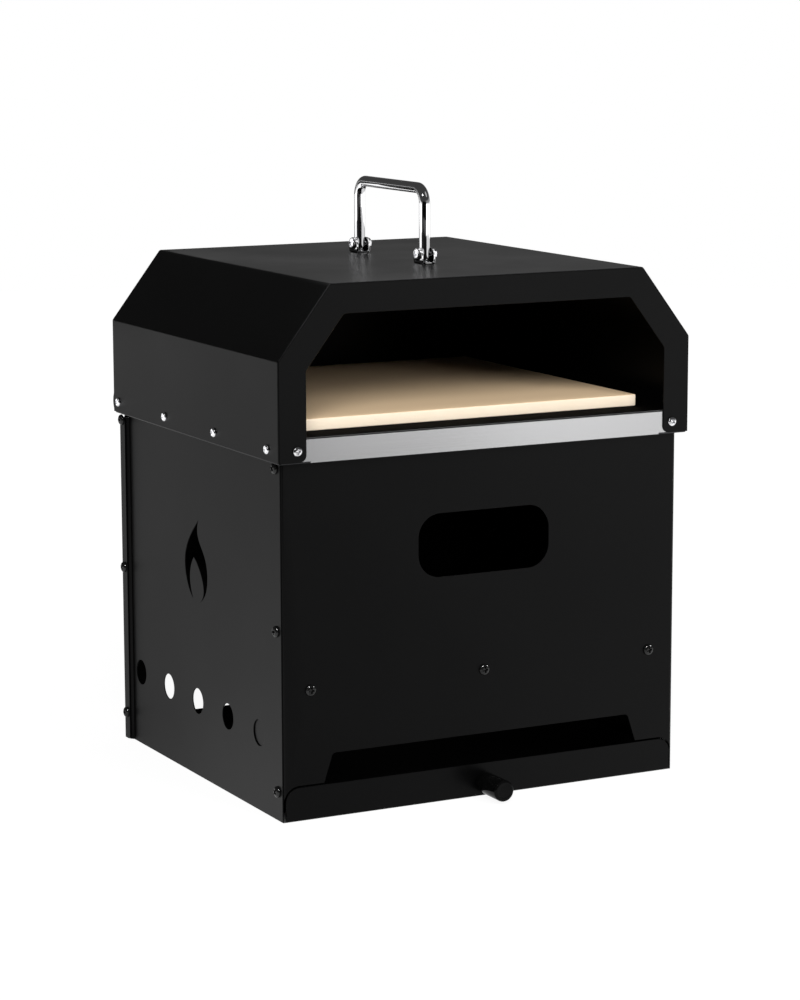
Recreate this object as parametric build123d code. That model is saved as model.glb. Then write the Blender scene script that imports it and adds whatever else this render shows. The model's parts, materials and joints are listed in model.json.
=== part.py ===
"""Portable two-layer pizza oven in millimetres.

A bent-sheet oven with a hood, a steel floor frame and a flat stone lifts off a bolted sheet-metal
firebox, which holds a charcoal grate and a slide-out ash tray. +Z is up, the mouth faces -Y, and the
origin is on the ground below the middle of the whole object.
"""

import os

from build123d import *

# Driving sizes of the hood
hood_width = 390.0
hood_depth = 350.0
hood_side_height = 83.0
hood_slope_height = 61.0
hood_slope_width = 47.0
hood_bend_radius = 3.0
mouth_band = 25.0
mouth_corner_radius = 4.0
pillar_foot_radius = 6.0
hood_return = 14.0
return_foot_gap = 3.0
seam_gap = 0.5
rear_ear_radius = 13.5

# Driving sizes of the sheet metal
hood_sheet = 1.0
floor_sheet = 1.0
box_sheet = 1.0
support_sheet = 1.2
edge_bend_radius = 1.6

# Driving sizes of the oven floor frame
strip_height = 21.0
strip_lip = 1.0

# Driving sizes of the stone and the charcoal grate
stone_side_room = 33.0
stone_setback = 31.0
stone_back_room = 11.0
stone_thickness = 10.0
stone_corner_radius = 2.0
stone_edge_radius = 0.8
stone_lap = 12.0
lay_gap = 0.3
coal_wire = 4.0
coal_cross_wire = 5.0
coal_wire_count = 17
coal_cross_count = 4
weld_depth = 0.4
rail_end_room = 5.0
coal_side_gap = 10.0
grate_end_gap = 2.0

# Driving sizes of the firebox
firebox_height = 321.0
side_gap = 4.0
front_gap = 8.0
back_gap = 5.0
front_return_margin = 8.0
top_flange = 12.0
rear_flange = 12.0
rear_flange_proud = 3.8
rear_flange_top_gap = 3.0
rear_corner_radius = 4.0
joggle_run = 3.0
window_width = 125.0
window_height = 54.0
window_radius = 20.0
window_centre_z = 221.0
slot_top_z = 54.5
slot_top_width = 286.0
slot_bottom_width = 304.0
slot_radius = 4.0
back_slot_width = 324.0
back_slot_bottom_z = 17.0
back_slot_top_z = 60.0

# Driving sizes of the vents and the flame cut-out
vent_diameter = 22.5
vent_count = 5
vent_front_margin = 46.3
vent_back_margin = 32.7
vent_z = 67.0
flame_base_z = 156.5
flame_height = 71.5
flame_width = 47.6

# Driving sizes of the charcoal grate supports
support_screw_z = 110.0
support_screw_drop = 10.0
support_screw_inset = 24.5
support_screw_count = 3
support_leg = 22.0
support_shelf = 16.0
support_end_gap = 12.0

# Driving sizes of the ash tray
tray_front_height = 27.5
tray_front_radius = 12.0
tray_gap = 1.5
tray_ground_gap = 1.0
tray_wall_height = 16.3
tray_side_gap = 11.0
tray_back_gap = 8.0
notch_depth = 12.0
guide_z = 3.0
guide_leg = 15.0
guide_bearing = 6.0
guide_front_gap = 1.0
guide_back_gap = 14.0
knob_diameter = 18.5
knob_length = 36.5
knob_neck_diameter = 13.0
knob_neck_length = 4.0
knob_rise = 11.0
knob_edge_radius = 2.0
knob_screw_depth = 14.0

# Driving sizes of the handle
handle_rod = 9.5
handle_span = 124.0
handle_back_shift = 4.0
handle_height = 69.0
handle_bend_radius = 13.0
clevis_sheet = 1.8
clevis_depth = 15.0
clevis_height = 13.5
clevis_crown_radius = 6.0
clevis_play = 0.2
clevis_pin_height = 8.0
rod_foot_gap = 1.5
rivet_diameter = 5.0
rivet_head_diameter = 8.5
rivet_head_height = 1.2

# Driving sizes of the screws and nuts
hole_play = 0.1
nut_play = 0.05
small_screw = 4.0
small_head = 8.2
small_head_height = 2.6
small_nut_flats = 7.0
small_nut_height = 3.0
large_screw = 5.0
large_head = 9.6
large_head_height = 3.0
large_nut_flats = 8.0
large_nut_height = 4.0
pin_head = 10.5
pin_head_height = 2.8
pin_nut_height = 3.2
thread_end = 0.5
recess_width = 1.0
recess_share = 0.55
recess_depth_share = 0.7
dome_share = 0.6

# Driving places of the screws
hood_screw_first = 22.0
hood_screw_last = 11.5
hood_screw_count = 4
pillar_screw_inset = 16.5
back_screw_inset = 75.0
back_screw_count = 3
side_screw_inset = 10.5
side_screw_foot = 24.5
side_screw_top_gap = 25.5
side_screw_count = 3

# How far a cutting shape runs past the face that it cuts
overcut = 1.0

# Sizes that follow from the driving ones
stone_width = hood_width - 2 * stone_side_room
stone_depth = hood_depth - stone_setback - stone_back_room
hood_bottom_z = firebox_height + floor_sheet - strip_height + strip_lip
hood_shoulder_z = hood_bottom_z + hood_side_height
hood_top_z = hood_shoulder_z + hood_slope_height
floor_bottom_z = firebox_height + floor_sheet - strip_height
floor_top_z = firebox_height + floor_sheet
half_hood = hood_width / 2
half_floor = half_hood - hood_sheet
half_box = half_floor - floor_sheet - side_gap
half_front = half_box - box_sheet
half_flange = half_box + rear_flange_proud

front_reach = knob_length - (hood_sheet + floor_sheet + front_gap)
back_reach = hood_depth + small_head_height
hood_front_y = (front_reach - back_reach) / 2
hood_back_y = hood_front_y + hood_depth
box_front_y = hood_front_y + hood_sheet + floor_sheet + front_gap
box_back_y = hood_back_y - hood_sheet - floor_sheet - back_gap
box_inner_front_y = box_front_y + box_sheet
box_inner_back_y = box_back_y - box_sheet

vent_first_y = box_front_y + vent_front_margin
vent_last_y = box_back_y - vent_back_margin
flame_middle_y = (vent_first_y + vent_last_y) / 2
front_return_end_y = vent_first_y + vent_diameter / 2 + front_return_margin
flange_front_y = box_back_y - rear_flange
flange_top_z = floor_bottom_z - rear_flange_top_gap
support_top_z = support_screw_z + support_screw_drop
support_half = half_front - box_sheet - support_end_gap


def front_plane(y):
    """Drawing plane that faces the front at depth y: drawn x is X, drawn y is Z."""
    return Plane(origin=(0, y, 0), x_dir=(1, 0, 0), z_dir=(0, -1, 0))


def side_plane(x):
    """Drawing plane that faces +X at x: drawn x is Y, drawn y is Z."""
    return Plane(origin=(x, 0, 0), x_dir=(0, 1, 0), z_dir=(1, 0, 0))


def plate_back(sketch, y, thickness):
    """Plate from depth y towards the back, from a sketch drawn in X and Z."""
    return extrude(front_plane(y) * sketch, amount=-thickness)


def plate_right(sketch, x, thickness):
    """Plate from x towards +X, from a sketch drawn in Y and Z."""
    return extrude(side_plane(x) * sketch, amount=thickness)


def plate_up(sketch, z, height):
    """Solid from z upwards, from a sketch drawn in X and Y."""
    return extrude(Plane.XY.offset(z) * sketch, amount=height)


def outline(points):
    """Filled polygon through the points."""
    return make_face(Polyline(*points, close=True))


def block(low, high):
    """Box between two corners."""
    middle = tuple((a + b) / 2 for a, b in zip(low, high))
    size = tuple(b - a for a, b in zip(low, high))
    return Pos(*middle) * Box(*size)


def rod_between(start, end, diameter):
    """Round rod between two points."""
    axis = Vector(*end) - Vector(*start)
    return Plane(origin=start, z_dir=axis) * Cylinder(
        diameter / 2, axis.length, align=(Align.CENTER, Align.CENTER, Align.MIN))


def mirrored_in_x(shape):
    """The same piece on the other side of the middle."""
    return mirror(shape, about=Plane.YZ)


def evenly(first, last, count):
    """Evenly spaced values from the first to the last."""
    return [first + (last - first) * index / (count - 1) for index in range(count)]


# Fasteners are drawn with their head above the seat at z = 0 and their shank below it.
upright = (Align.CENTER, Align.CENTER, Align.MIN)
hanging = (Align.CENTER, Align.CENTER, Align.MAX)


def pan_screw(shank, length, head, head_height):
    """Cross-recessed pan-head screw."""
    cap = Cylinder(head / 2, head_height, align=upright)
    rim = cap.edges().group_by(Axis.Z)[-1]
    cap = fillet(rim, head_height * dome_share)
    body = cap + Cylinder(shank / 2, length, align=hanging)
    reach = head * recess_share
    depth = head_height * recess_depth_share
    top = Pos(0, 0, head_height - depth)
    cross = Box(reach, recess_width, depth, align=upright) + Box(recess_width, reach, depth, align=upright)
    return body - top * cross


def hex_nut(bore, flats, height):
    """Hexagon nut that lies on z = 0 and reaches up, with two flats facing local y."""
    body = extrude(RegularPolygon(flats / 2, 6, major_radius=False), amount=height)
    return body - Cylinder(bore / 2 + nut_play, height + overcut, align=upright)


def facing(direction, seat):
    """Place of a fastener whose head faces the direction and sits on the seat point."""
    x_dir = back if direction == up else up
    return Plane(origin=seat, x_dir=x_dir, z_dir=direction).location


def hole(direction, seat, diameter, depth):
    """Clearance hole for a fastener, drilled inwards from its seat and just through the depth."""
    return facing(direction, seat) * Pos(0, 0, overcut) * Cylinder(
        diameter / 2 + hole_play, depth + 2 * overcut, align=hanging)


def group(pieces):
    """Several loose solids that share one node."""
    return Compound(children=[piece.solid() for piece in pieces])


def inward(direction, seat, depth):
    """Point that lies a depth inwards from a fastener's seat."""
    return tuple(s - d * depth for s, d in zip(seat, direction))


left, right = (-1, 0, 0), (1, 0, 0)
front, back = (0, -1, 0), (0, 1, 0)
up = (0, 0, 1)


# Hood

def hood_outline(inset, bottom):
    """Hood section moved in by an inset, in X and Z, down to a bottom level."""
    slope = (hood_slope_height ** 2 + hood_slope_width ** 2) ** 0.5
    side = half_hood - inset
    shoulder = hood_shoulder_z - inset * (slope - hood_slope_height) / hood_slope_width
    crown = half_hood - hood_slope_width - inset * (slope - hood_slope_width) / hood_slope_height
    top = hood_top_z - inset
    return [(-side, bottom), (-side, shoulder), (-crown, top), (crown, top), (side, shoulder), (side, bottom)]


def hood_section(inset, bottom, radius):
    """Filled hood section with rounded bends at the shoulders and the crown."""
    section = outline(hood_outline(inset, bottom))
    bends = [v for v in section.vertices() if v.Y > bottom + overcut]
    return fillet(bends, radius)


def hood_ring(outer, inner, bottom):
    """Wall between two insets of the hood section, open below."""
    outside = hood_section(outer, bottom, hood_bend_radius - outer)
    inside = hood_section(inner, bottom - overcut, max(hood_bend_radius - inner, hood_sheet / 2))
    return outside - inside


hood_screw_z = floor_bottom_z + strip_height / 2
ear_y = hood_back_y - hood_screw_last


def side_screw_seats():
    """Seats of the screws low on both hood sides, with the way their heads face."""
    places = evenly(hood_front_y + hood_screw_first, ear_y, hood_screw_count)
    return [(side, (side[0] * half_hood, y, hood_screw_z)) for side in (left, right) for y in places]


def pillar_screw_seats():
    """Seats of the two screws on the front pillars."""
    x = half_hood - pillar_screw_inset
    return [(front, (side * x, hood_front_y, hood_screw_z)) for side in (-1, 1)]


def back_screw_seats():
    """Seats of the screws low on the hood's back."""
    x = half_hood - back_screw_inset
    return [(back, (place, hood_back_y, hood_screw_z)) for place in evenly(-x, x, back_screw_count)]


def handle_feet():
    """Places where the two handle legs stand on the hood top."""
    middle = (hood_front_y + hood_back_y) / 2 + handle_back_shift
    return [(0, middle + side * handle_span / 2, hood_top_z) for side in (-1, 1)]


hood_grip = hood_sheet + floor_sheet


def build_hood_shell():
    """Sheet bent over the top and both sides, with a rounded ear low at each rear corner."""
    start = hood_front_y + hood_sheet + seam_gap
    shell = plate_back(hood_ring(0, hood_sheet, hood_bottom_z), start, hood_back_y - start)
    ear = Pos(ear_y, hood_screw_z) * Circle(rear_ear_radius)
    low = Pos(ear_y, hood_bottom_z - rear_ear_radius) * Rectangle(4 * rear_ear_radius, 2 * rear_ear_radius)
    for x in (-half_hood, half_hood - hood_sheet):
        shell += plate_right(ear - low, x, hood_sheet)
    for direction, seat in side_screw_seats():
        shell -= hole(direction, seat, small_screw, hood_sheet)
    for foot in handle_feet():
        shell -= hole(up, foot, rivet_diameter, hood_sheet)
    return shell


def hood_returns():
    """Section of the flanges that lie inside the shell, down to just above the oven floor."""
    return hood_ring(hood_sheet, 2 * hood_sheet, floor_top_z + return_foot_gap)


def build_hood_front_frame():
    """Flat frame round the mouth, with returns that lie inside the hood shell."""
    face = hood_section(0, hood_bottom_z, hood_bend_radius)
    mouth = outline(hood_outline(mouth_band, hood_bottom_z - overcut))
    corners = [v for v in mouth.vertices() if v.Y > hood_bottom_z]
    arch = face - fillet(corners, mouth_corner_radius)
    pillar_middle = half_hood - mouth_band / 2
    feet = [v for v in arch.vertices() if v.Y < hood_bottom_z + overcut and abs(v.X) < pillar_middle]
    frame = plate_back(fillet(feet, pillar_foot_radius), hood_front_y, hood_sheet)
    frame += plate_back(hood_returns(), hood_front_y + hood_sheet, hood_return)
    for direction, seat in pillar_screw_seats():
        frame -= hole(direction, seat, small_screw, hood_sheet)
    return frame


def build_hood_back_panel():
    """Back wall of the hood, with flanges that lie inside the shell."""
    start = hood_back_y - hood_sheet
    wall = hood_section(hood_sheet, hood_bottom_z, hood_bend_radius - hood_sheet)
    panel = plate_back(wall, start, hood_sheet) + plate_back(hood_returns(), start - hood_return, hood_return)
    for direction, seat in back_screw_seats():
        panel -= hole(direction, seat, small_screw, hood_sheet)
    return panel


# Steel floor frame of the oven

floor_front_y = hood_front_y + hood_sheet
floor_back_y = hood_back_y - hood_sheet
stone_front_y = hood_front_y + stone_setback
stone_back_y = stone_front_y + stone_depth


def build_floor_frame():
    """Folded steel frame: a flange down each side, and a heat opening that the stone laps all round."""
    outer = block((-half_floor, floor_front_y, floor_bottom_z), (half_floor, floor_back_y, floor_top_z))
    outer = fillet(outer.edges().filter_by(Axis.Z), edge_bend_radius)
    inner = block((-half_floor + floor_sheet, floor_front_y + floor_sheet, floor_bottom_z - overcut),
                  (half_floor - floor_sheet, floor_back_y - floor_sheet, firebox_height))
    half_heat = stone_width / 2 - stone_lap
    heat = block((-half_heat, stone_front_y + stone_lap, firebox_height - overcut),
                 (half_heat, stone_back_y - stone_lap, floor_top_z + overcut))
    frame = outer - inner - heat
    for direction, seat in side_screw_seats() + pillar_screw_seats() + back_screw_seats():
        frame -= hole(direction, seat, small_screw, hood_grip)
    return frame


# Stone and charcoal grate

def wires_front_to_back(low_z, wire, count, half_width, start_y, end_y):
    """Evenly spaced wires along Y whose undersides lie at a level."""
    z = low_z + wire / 2
    return [rod_between((x, start_y, z), (x, end_y, z), wire) for x in evenly(-half_width, half_width, count)]


def wires_across(high_z, wire, count, half_length, start_y, end_y):
    """Evenly spaced wires along X whose tops lie at a level."""
    z = high_z - wire / 2
    places = evenly(start_y, end_y, count)
    return [rod_between((-half_length, y, z), (half_length, y, z), wire) for y in places]


def build_pizza_stone():
    """Flat baking stone with softened edges, laid over the heat opening of the floor frame."""
    low_z = floor_top_z + lay_gap
    stone = block((-stone_width / 2, stone_front_y, low_z),
                  (stone_width / 2, stone_back_y, low_z + stone_thickness))
    stone = fillet(stone.edges().filter_by(Axis.Z), stone_corner_radius)
    rims = stone.edges().group_by(Axis.Z)[0] + stone.edges().group_by(Axis.Z)[-1]
    return chamfer(rims, stone_edge_radius)


support_grip = box_sheet + support_sheet
shelf_front_y = box_inner_front_y + support_shelf
shelf_back_y = box_inner_back_y - support_shelf


def build_charcoal_grate():
    """Wire grate that lies on the two angle supports, its cross wires welded below its bars."""
    low_z = support_top_z + lay_gap
    half_width = support_half - coal_side_gap
    end_gap = support_sheet + grate_end_gap
    end_room = coal_cross_wire + rail_end_room
    bars = wires_front_to_back(low_z, coal_wire, coal_wire_count, half_width,
                               box_inner_front_y + end_gap, box_inner_back_y - end_gap)
    rails = wires_across(low_z + weld_depth, coal_cross_wire, coal_cross_count, half_width + coal_wire / 2,
                         shelf_front_y + end_room, shelf_back_y - end_room)
    return Part() + bars + rails


# Firebox panels

side_screw_levels = evenly(side_screw_foot, firebox_height - side_screw_top_gap, side_screw_count)


def front_flange_seats(side):
    """Seats of the screws along the front edge of one side panel."""
    y = box_front_y + side_screw_inset
    return [(side, (side[0] * half_box, y, z)) for z in side_screw_levels]


def rear_flange_seats(side):
    """Seats of the screws along one rear flange."""
    y = box_back_y - rear_flange / 2
    return [(side, (side[0] * half_flange, y, z)) for z in side_screw_levels]


def support_seats(direction):
    """Seats of the screws that hold a grate support to the front or the back panel."""
    y = box_front_y if direction == front else box_back_y
    x = half_front - support_screw_inset
    return [(direction, (place, y, support_screw_z)) for place in evenly(-x, x, support_screw_count)]


def tray_outline(grow):
    """Tray front shape grown by a gap, with round upper corners, in X and Z."""
    half = half_front - tray_gap + grow
    top = tray_ground_gap + tray_front_height + grow
    foot = tray_ground_gap - 2 * grow
    face = outline([(-half, foot), (-half, top), (half, top), (half, foot)])
    return fillet([v for v in face.vertices() if v.Y > top - overcut], tray_front_radius + grow)


def build_front_panel():
    """Front panel with wide returns, a top flange, the window, the air slot and the tray notch."""
    wall = block((-half_front, box_front_y, 0), (half_front, front_return_end_y, firebox_height))
    wall = fillet(wall.edges().filter_by(Axis.Z).group_by(Axis.Y)[0], edge_bend_radius)
    half_inside = half_front - box_sheet
    core = block((-half_inside, box_inner_front_y, -overcut),
                 (half_inside, front_return_end_y + overcut, firebox_height - box_sheet))
    above = block((-half_inside, box_inner_front_y + top_flange, firebox_height - box_sheet - overcut),
                  (half_inside, front_return_end_y + overcut, firebox_height + overcut))
    panel = wall - core - above
    start, depth = box_front_y - overcut, box_sheet + 2 * overcut
    window = Pos(0, window_centre_z) * RectangleRounded(window_width, window_height, window_radius)
    panel -= plate_back(window, start, depth)
    slot_low = tray_ground_gap + tray_front_height - overcut
    slot = outline([(-slot_bottom_width / 2, slot_low), (-slot_top_width / 2, slot_top_z),
                    (slot_top_width / 2, slot_top_z), (slot_bottom_width / 2, slot_low)])
    slot = fillet([v for v in slot.vertices() if v.Y > slot_top_z - overcut], slot_radius)
    panel -= plate_back(slot, start, depth)
    panel -= plate_back(tray_outline(tray_gap), start, notch_depth + overcut)
    for direction, seat in front_flange_seats(left) + front_flange_seats(right):
        panel -= hole(direction, seat, large_screw, 2 * box_sheet)
    for direction, seat in support_seats(front):
        panel -= hole(direction, seat, large_screw, box_sheet)
    return panel


def build_back_panel():
    """Back panel whose flanges fold forward outside the side panels, with a low air slot."""
    shell = block((-half_flange, flange_front_y, 0), (half_flange, box_back_y, flange_top_z))
    shell = fillet(shell.edges().filter_by(Axis.Z).group_by(Axis.Y)[-1], edge_bend_radius)
    shell = fillet(shell.edges().filter_by(Axis.X).group_by(Axis.Y)[0], rear_corner_radius)
    shell -= block((-half_flange + box_sheet, flange_front_y - overcut, -overcut),
                   (half_flange - box_sheet, box_inner_back_y, flange_top_z + overcut))
    upper = block((-half_front, box_inner_back_y, flange_top_z - overcut),
                  (half_front, box_back_y, firebox_height))
    lip = block((-half_front + box_sheet, box_inner_back_y - top_flange, firebox_height - box_sheet),
                (half_front - box_sheet, box_back_y, firebox_height))
    panel = shell + upper + lip
    slot_height = back_slot_top_z - back_slot_bottom_z
    slot = Pos(0, (back_slot_top_z + back_slot_bottom_z) / 2) * RectangleRounded(
        back_slot_width, slot_height, slot_radius)
    panel -= plate_back(slot, box_inner_back_y - overcut, box_sheet + 2 * overcut)
    for direction, seat in rear_flange_seats(left) + rear_flange_seats(right) + support_seats(back):
        panel -= hole(direction, seat, large_screw, box_sheet)
    return panel


def flame_shape():
    """Cut-out of an outer flame round an uncut inner one, in Y and Z, as shares of its size."""
    def at(across, along):
        return (flame_middle_y + across * flame_width, flame_base_z + along * flame_height)

    tip = at(-0.13, 1.0)
    rear_horn = at(0.16, 0.02)
    front_horn = at(-0.18, 0.0)
    inner_tip = at(0.10, 0.53)
    rear_side = Spline([rear_horn, at(0.40, 0.19), at(0.49, 0.50), at(0.24, 0.78), tip])
    front_side = Spline([tip, at(-0.09, 0.80), at(-0.40, 0.56), at(-0.50, 0.31), front_horn])
    inner_front = Spline([front_horn, at(-0.33, 0.14), at(-0.24, 0.32), inner_tip])
    inner_rear = Spline([inner_tip, at(0.28, 0.31), rear_horn])
    return make_face([rear_side, front_side, inner_front, inner_rear])


def build_side_panel():
    """Left side panel: vents, flame cut-out, and a rear edge stepped out to meet the back flange."""
    outer = -half_box
    step = rear_flange_proud - box_sheet
    step_start_y = flange_front_y - joggle_run / 2
    step_end_y = step_start_y + joggle_run
    front_edge_y = box_front_y + edge_bend_radius
    plan = outline([(outer, front_edge_y), (outer, step_start_y), (outer - step, step_end_y),
                    (outer - step, box_inner_back_y), (outer - step + box_sheet, box_inner_back_y),
                    (outer - step + box_sheet, step_end_y), (outer + box_sheet, step_start_y),
                    (outer + box_sheet, front_edge_y)])
    panel = plate_up(plan, 0, firebox_height)
    panel -= block((outer - step - overcut, step_start_y, flange_top_z),
                   (outer + box_sheet + overcut, box_back_y, firebox_height + overcut))
    start, depth = outer - overcut, box_sheet + 2 * overcut
    for y in evenly(vent_first_y, vent_last_y, vent_count):
        panel -= plate_right(Pos(y, vent_z) * Circle(vent_diameter / 2), start, depth)
    panel -= plate_right(flame_shape(), start, depth)
    for direction, seat in front_flange_seats(left):
        panel -= hole(direction, seat, large_screw, box_sheet)
    for direction, seat in rear_flange_seats(left):
        panel -= hole(direction, seat, large_screw, 2 * box_sheet)
    return panel


def build_grate_support(direction, wall_y):
    """Angle that carries the charcoal grate, screwed to the inside of a wall."""
    inwards = -direction[1]
    leg_y = sorted((wall_y, wall_y + inwards * support_sheet))
    shelf_y = sorted((wall_y, wall_y + inwards * support_shelf))
    angle = block((-support_half, leg_y[0], support_top_z - support_leg),
                  (support_half, leg_y[1], support_top_z))
    angle += block((-support_half, shelf_y[0], support_top_z - support_sheet),
                   (support_half, shelf_y[1], support_top_z))
    for side, seat in support_seats(direction):
        angle -= hole(side, seat, large_screw, support_grip)
    return angle


# Ash tray and its guides

tray_front_y = box_front_y
pan_front_y = tray_front_y + box_sheet
pan_back_y = box_inner_back_y - tray_back_gap
half_pan = half_front - tray_side_gap
pan_low_z = guide_z + box_sheet


def build_tray_guide():
    """Left angle guide that the ash pan slides on."""
    start = front_return_end_y + guide_front_gap
    end = box_inner_back_y - guide_back_gap
    wall = -half_front
    guide = block((wall, start, guide_z), (wall + box_sheet, end, guide_z + guide_leg))
    shelf_end = wall + tray_side_gap + guide_bearing
    return guide + block((wall, start, guide_z), (shelf_end, end, guide_z + box_sheet))


def knob_seat():
    """Point where the knob's axis meets the outside of the tray front."""
    return (0, tray_front_y, tray_ground_gap + knob_rise)


def pan_block(low_z, high_z):
    """Pan outline with rounded corners between two levels."""
    body = block((-half_pan, pan_front_y, low_z), (half_pan, pan_back_y, high_z))
    return fillet(body.edges().filter_by(Axis.Z), edge_bend_radius)


def build_ash_pan_floor():
    """Floor sheet of the shallow ash pan."""
    return pan_block(pan_low_z, pan_low_z + box_sheet)


def build_ash_pan_rim():
    """Strip bent round the floor sheet as the pan's four low walls."""
    low_z = pan_low_z + box_sheet
    high_z = pan_low_z + tray_wall_height
    inside = block((-half_pan + box_sheet, pan_front_y + box_sheet, low_z - overcut),
                   (half_pan - box_sheet, pan_back_y - box_sheet, high_z + overcut))
    return pan_block(low_z, high_z) - inside - hole(front, knob_seat(), small_screw, 2 * box_sheet)


def build_tray_front():
    """Front plate of the ash tray."""
    plate = plate_back(tray_outline(0), tray_front_y, box_sheet)
    return plate - hole(front, knob_seat(), small_screw, box_sheet)


def build_knob():
    """Turned knob with a narrower neck and a blind bore for its screw."""
    neck = Cylinder(knob_neck_diameter / 2, knob_neck_length, align=upright)
    grip = Pos(0, 0, knob_neck_length) * Cylinder(
        knob_diameter / 2, knob_length - knob_neck_length, align=upright)
    grip = fillet(grip.edges().group_by(Axis.Z)[-1], knob_edge_radius)
    grip = fillet(grip.edges().group_by(Axis.Z)[0], knob_edge_radius / 2)
    bore = Cylinder(small_screw / 2 + nut_play, knob_screw_depth + thread_end, align=upright)
    return facing(front, knob_seat()) * (neck + grip - bore)


def build_knob_screw():
    """Screw from inside the pan into the knob."""
    seat = inward(front, knob_seat(), 2 * box_sheet)
    length = knob_screw_depth + 2 * box_sheet
    return facing(back, seat) * pan_screw(small_screw, length, small_head, small_head_height)


# Handle

clevis_gap = handle_rod + 2 * clevis_play
clevis_width = clevis_gap + 2 * clevis_sheet


def build_handle_rod():
    """Bent round rod with a cross hole near each foot."""
    feet = handle_feet()
    low_z = hood_top_z + clevis_sheet + rod_foot_gap
    high_z = hood_top_z + handle_height - handle_rod / 2
    front_leg_y, rear_leg_y = feet[0][1], feet[1][1]
    path = FilletPolyline((0, front_leg_y, low_z), (0, front_leg_y, high_z), (0, rear_leg_y, high_z),
                          (0, rear_leg_y, low_z), radius=handle_bend_radius)
    start = Plane(origin=(0, front_leg_y, low_z), z_dir=up)
    rod = sweep(start * Circle(handle_rod / 2), path=path)
    for direction, seat in pin_screw_seats():
        rod -= hole(direction, seat, large_screw, clevis_width)
    return rod


def build_clevis(foot):
    """Chromed foot: a base and two rounded cheeks that hold the rod's end on a cross screw."""
    x, y, z = foot
    half = clevis_width / 2
    bracket = block((-half, y - clevis_depth / 2, z), (half, y + clevis_depth / 2, z + clevis_height))
    crown = bracket.edges().filter_by(Axis.X).group_by(Axis.Z)[-1]
    bracket = fillet(crown, clevis_crown_radius)
    bracket -= block((-clevis_gap / 2, y - clevis_depth, z + clevis_sheet),
                     (clevis_gap / 2, y + clevis_depth, z + clevis_height + overcut))
    bracket -= hole(left, (-half, y, z + clevis_pin_height), large_screw, clevis_width)
    return bracket - hole(up, (x, y, z + clevis_sheet), rivet_diameter, clevis_sheet)


def pin_screw_seats():
    """Seats of the cross screws on the left cheeks of the clevis feet."""
    return [(left, (-clevis_width / 2, foot[1], foot[2] + clevis_pin_height)) for foot in handle_feet()]


def build_rivet(foot):
    """Rivet from inside the clevis through the hood sheet."""
    x, y, z = foot
    grip = clevis_sheet + hood_sheet
    head = Cylinder(rivet_head_diameter / 2, rivet_head_height, align=upright)
    head = fillet(head.edges().group_by(Axis.Z)[-1], rivet_head_height * dome_share)
    tail = Pos(0, 0, -grip) * Cylinder(rivet_head_diameter / 2, rivet_head_height, align=hanging)
    shank = Cylinder(rivet_diameter / 2, grip + rivet_head_height / 2, align=hanging)
    return Pos(x, y, z + clevis_sheet) * (head + shank + tail)


# Screws and nuts

# Each kind of screw: shank, head, head height, nut flats, nut height
hood_screw = (small_screw, small_head, small_head_height, small_nut_flats, small_nut_height)
box_screw = (large_screw, large_head, large_head_height, large_nut_flats, large_nut_height)
pin_screw = (large_screw, pin_head, pin_head_height, large_nut_flats, pin_nut_height)


def screws_at(seats, grip, kind):
    """One screw at every seat, long enough for its grip and its nut."""
    shank, head, head_height, _, nut_height = kind
    pattern = pan_screw(shank, grip + nut_height + thread_end, head, head_height)
    return group([facing(direction, seat) * pattern for direction, seat in seats])


def nuts_at(seats, grip, kind):
    """One nut behind every seat, tight against the gripped sheets."""
    shank, _, _, flats, height = kind
    pattern = hex_nut(shank, flats, height)
    places = [facing(direction, inward(direction, seat, grip + height)) for direction, seat in seats]
    return group([place * pattern for place in places])


hood_seats = side_screw_seats() + pillar_screw_seats() + back_screw_seats()
box_seats = [seat for side in (left, right) for seat in front_flange_seats(side) + rear_flange_seats(side)]
angle_seats = support_seats(front) + support_seats(back)
side_panel = build_side_panel()
tray_guide = build_tray_guide()
feet = handle_feet()

parts = {
    "hood_shell": build_hood_shell(),
    "hood_front_frame": build_hood_front_frame(),
    "hood_back_panel": build_hood_back_panel(),
    "oven_floor_frame": build_floor_frame(),
    "handle_rod": build_handle_rod(),
    "handle_clevis_front": build_clevis(feet[0]),
    "handle_clevis_rear": build_clevis(feet[1]),
    "handle_rivets": group([build_rivet(foot) for foot in feet]),
    "handle_cross_screws": screws_at(pin_screw_seats(), clevis_width, pin_screw),
    "handle_cross_nuts": nuts_at(pin_screw_seats(), clevis_width, pin_screw),
    "hood_side_screws": screws_at(side_screw_seats(), hood_grip, hood_screw),
    "hood_front_screws": screws_at(pillar_screw_seats(), hood_grip, hood_screw),
    "hood_back_screws": screws_at(back_screw_seats(), hood_grip, hood_screw),
    "hood_nuts": nuts_at(hood_seats, hood_grip, hood_screw),
    "pizza_stone": build_pizza_stone(),
    "charcoal_grate": build_charcoal_grate(),
    "firebox_front_panel": build_front_panel(),
    "firebox_back_panel": build_back_panel(),
    "firebox_left_panel": side_panel,
    "firebox_right_panel": mirrored_in_x(side_panel),
    "grate_support_front": build_grate_support(front, box_inner_front_y),
    "grate_support_back": build_grate_support(back, box_inner_back_y),
    "tray_guide_left": tray_guide,
    "tray_guide_right": mirrored_in_x(tray_guide),
    "firebox_side_screws": screws_at(box_seats, 2 * box_sheet, box_screw),
    "firebox_side_nuts": nuts_at(box_seats, 2 * box_sheet, box_screw),
    "grate_support_screws": screws_at(angle_seats, support_grip, box_screw),
    "grate_support_nuts": nuts_at(angle_seats, support_grip, box_screw),
    "ash_pan_floor": build_ash_pan_floor(),
    "ash_pan_rim": build_ash_pan_rim(),
    "ash_tray_front": build_tray_front(),
    "ash_tray_knob": build_knob(),
    "ash_tray_knob_screw": build_knob_screw(),
}

os.makedirs("parts", exist_ok=True)
for name, shape in parts.items():
    export_step(shape, "parts/" + name + ".step")
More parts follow.
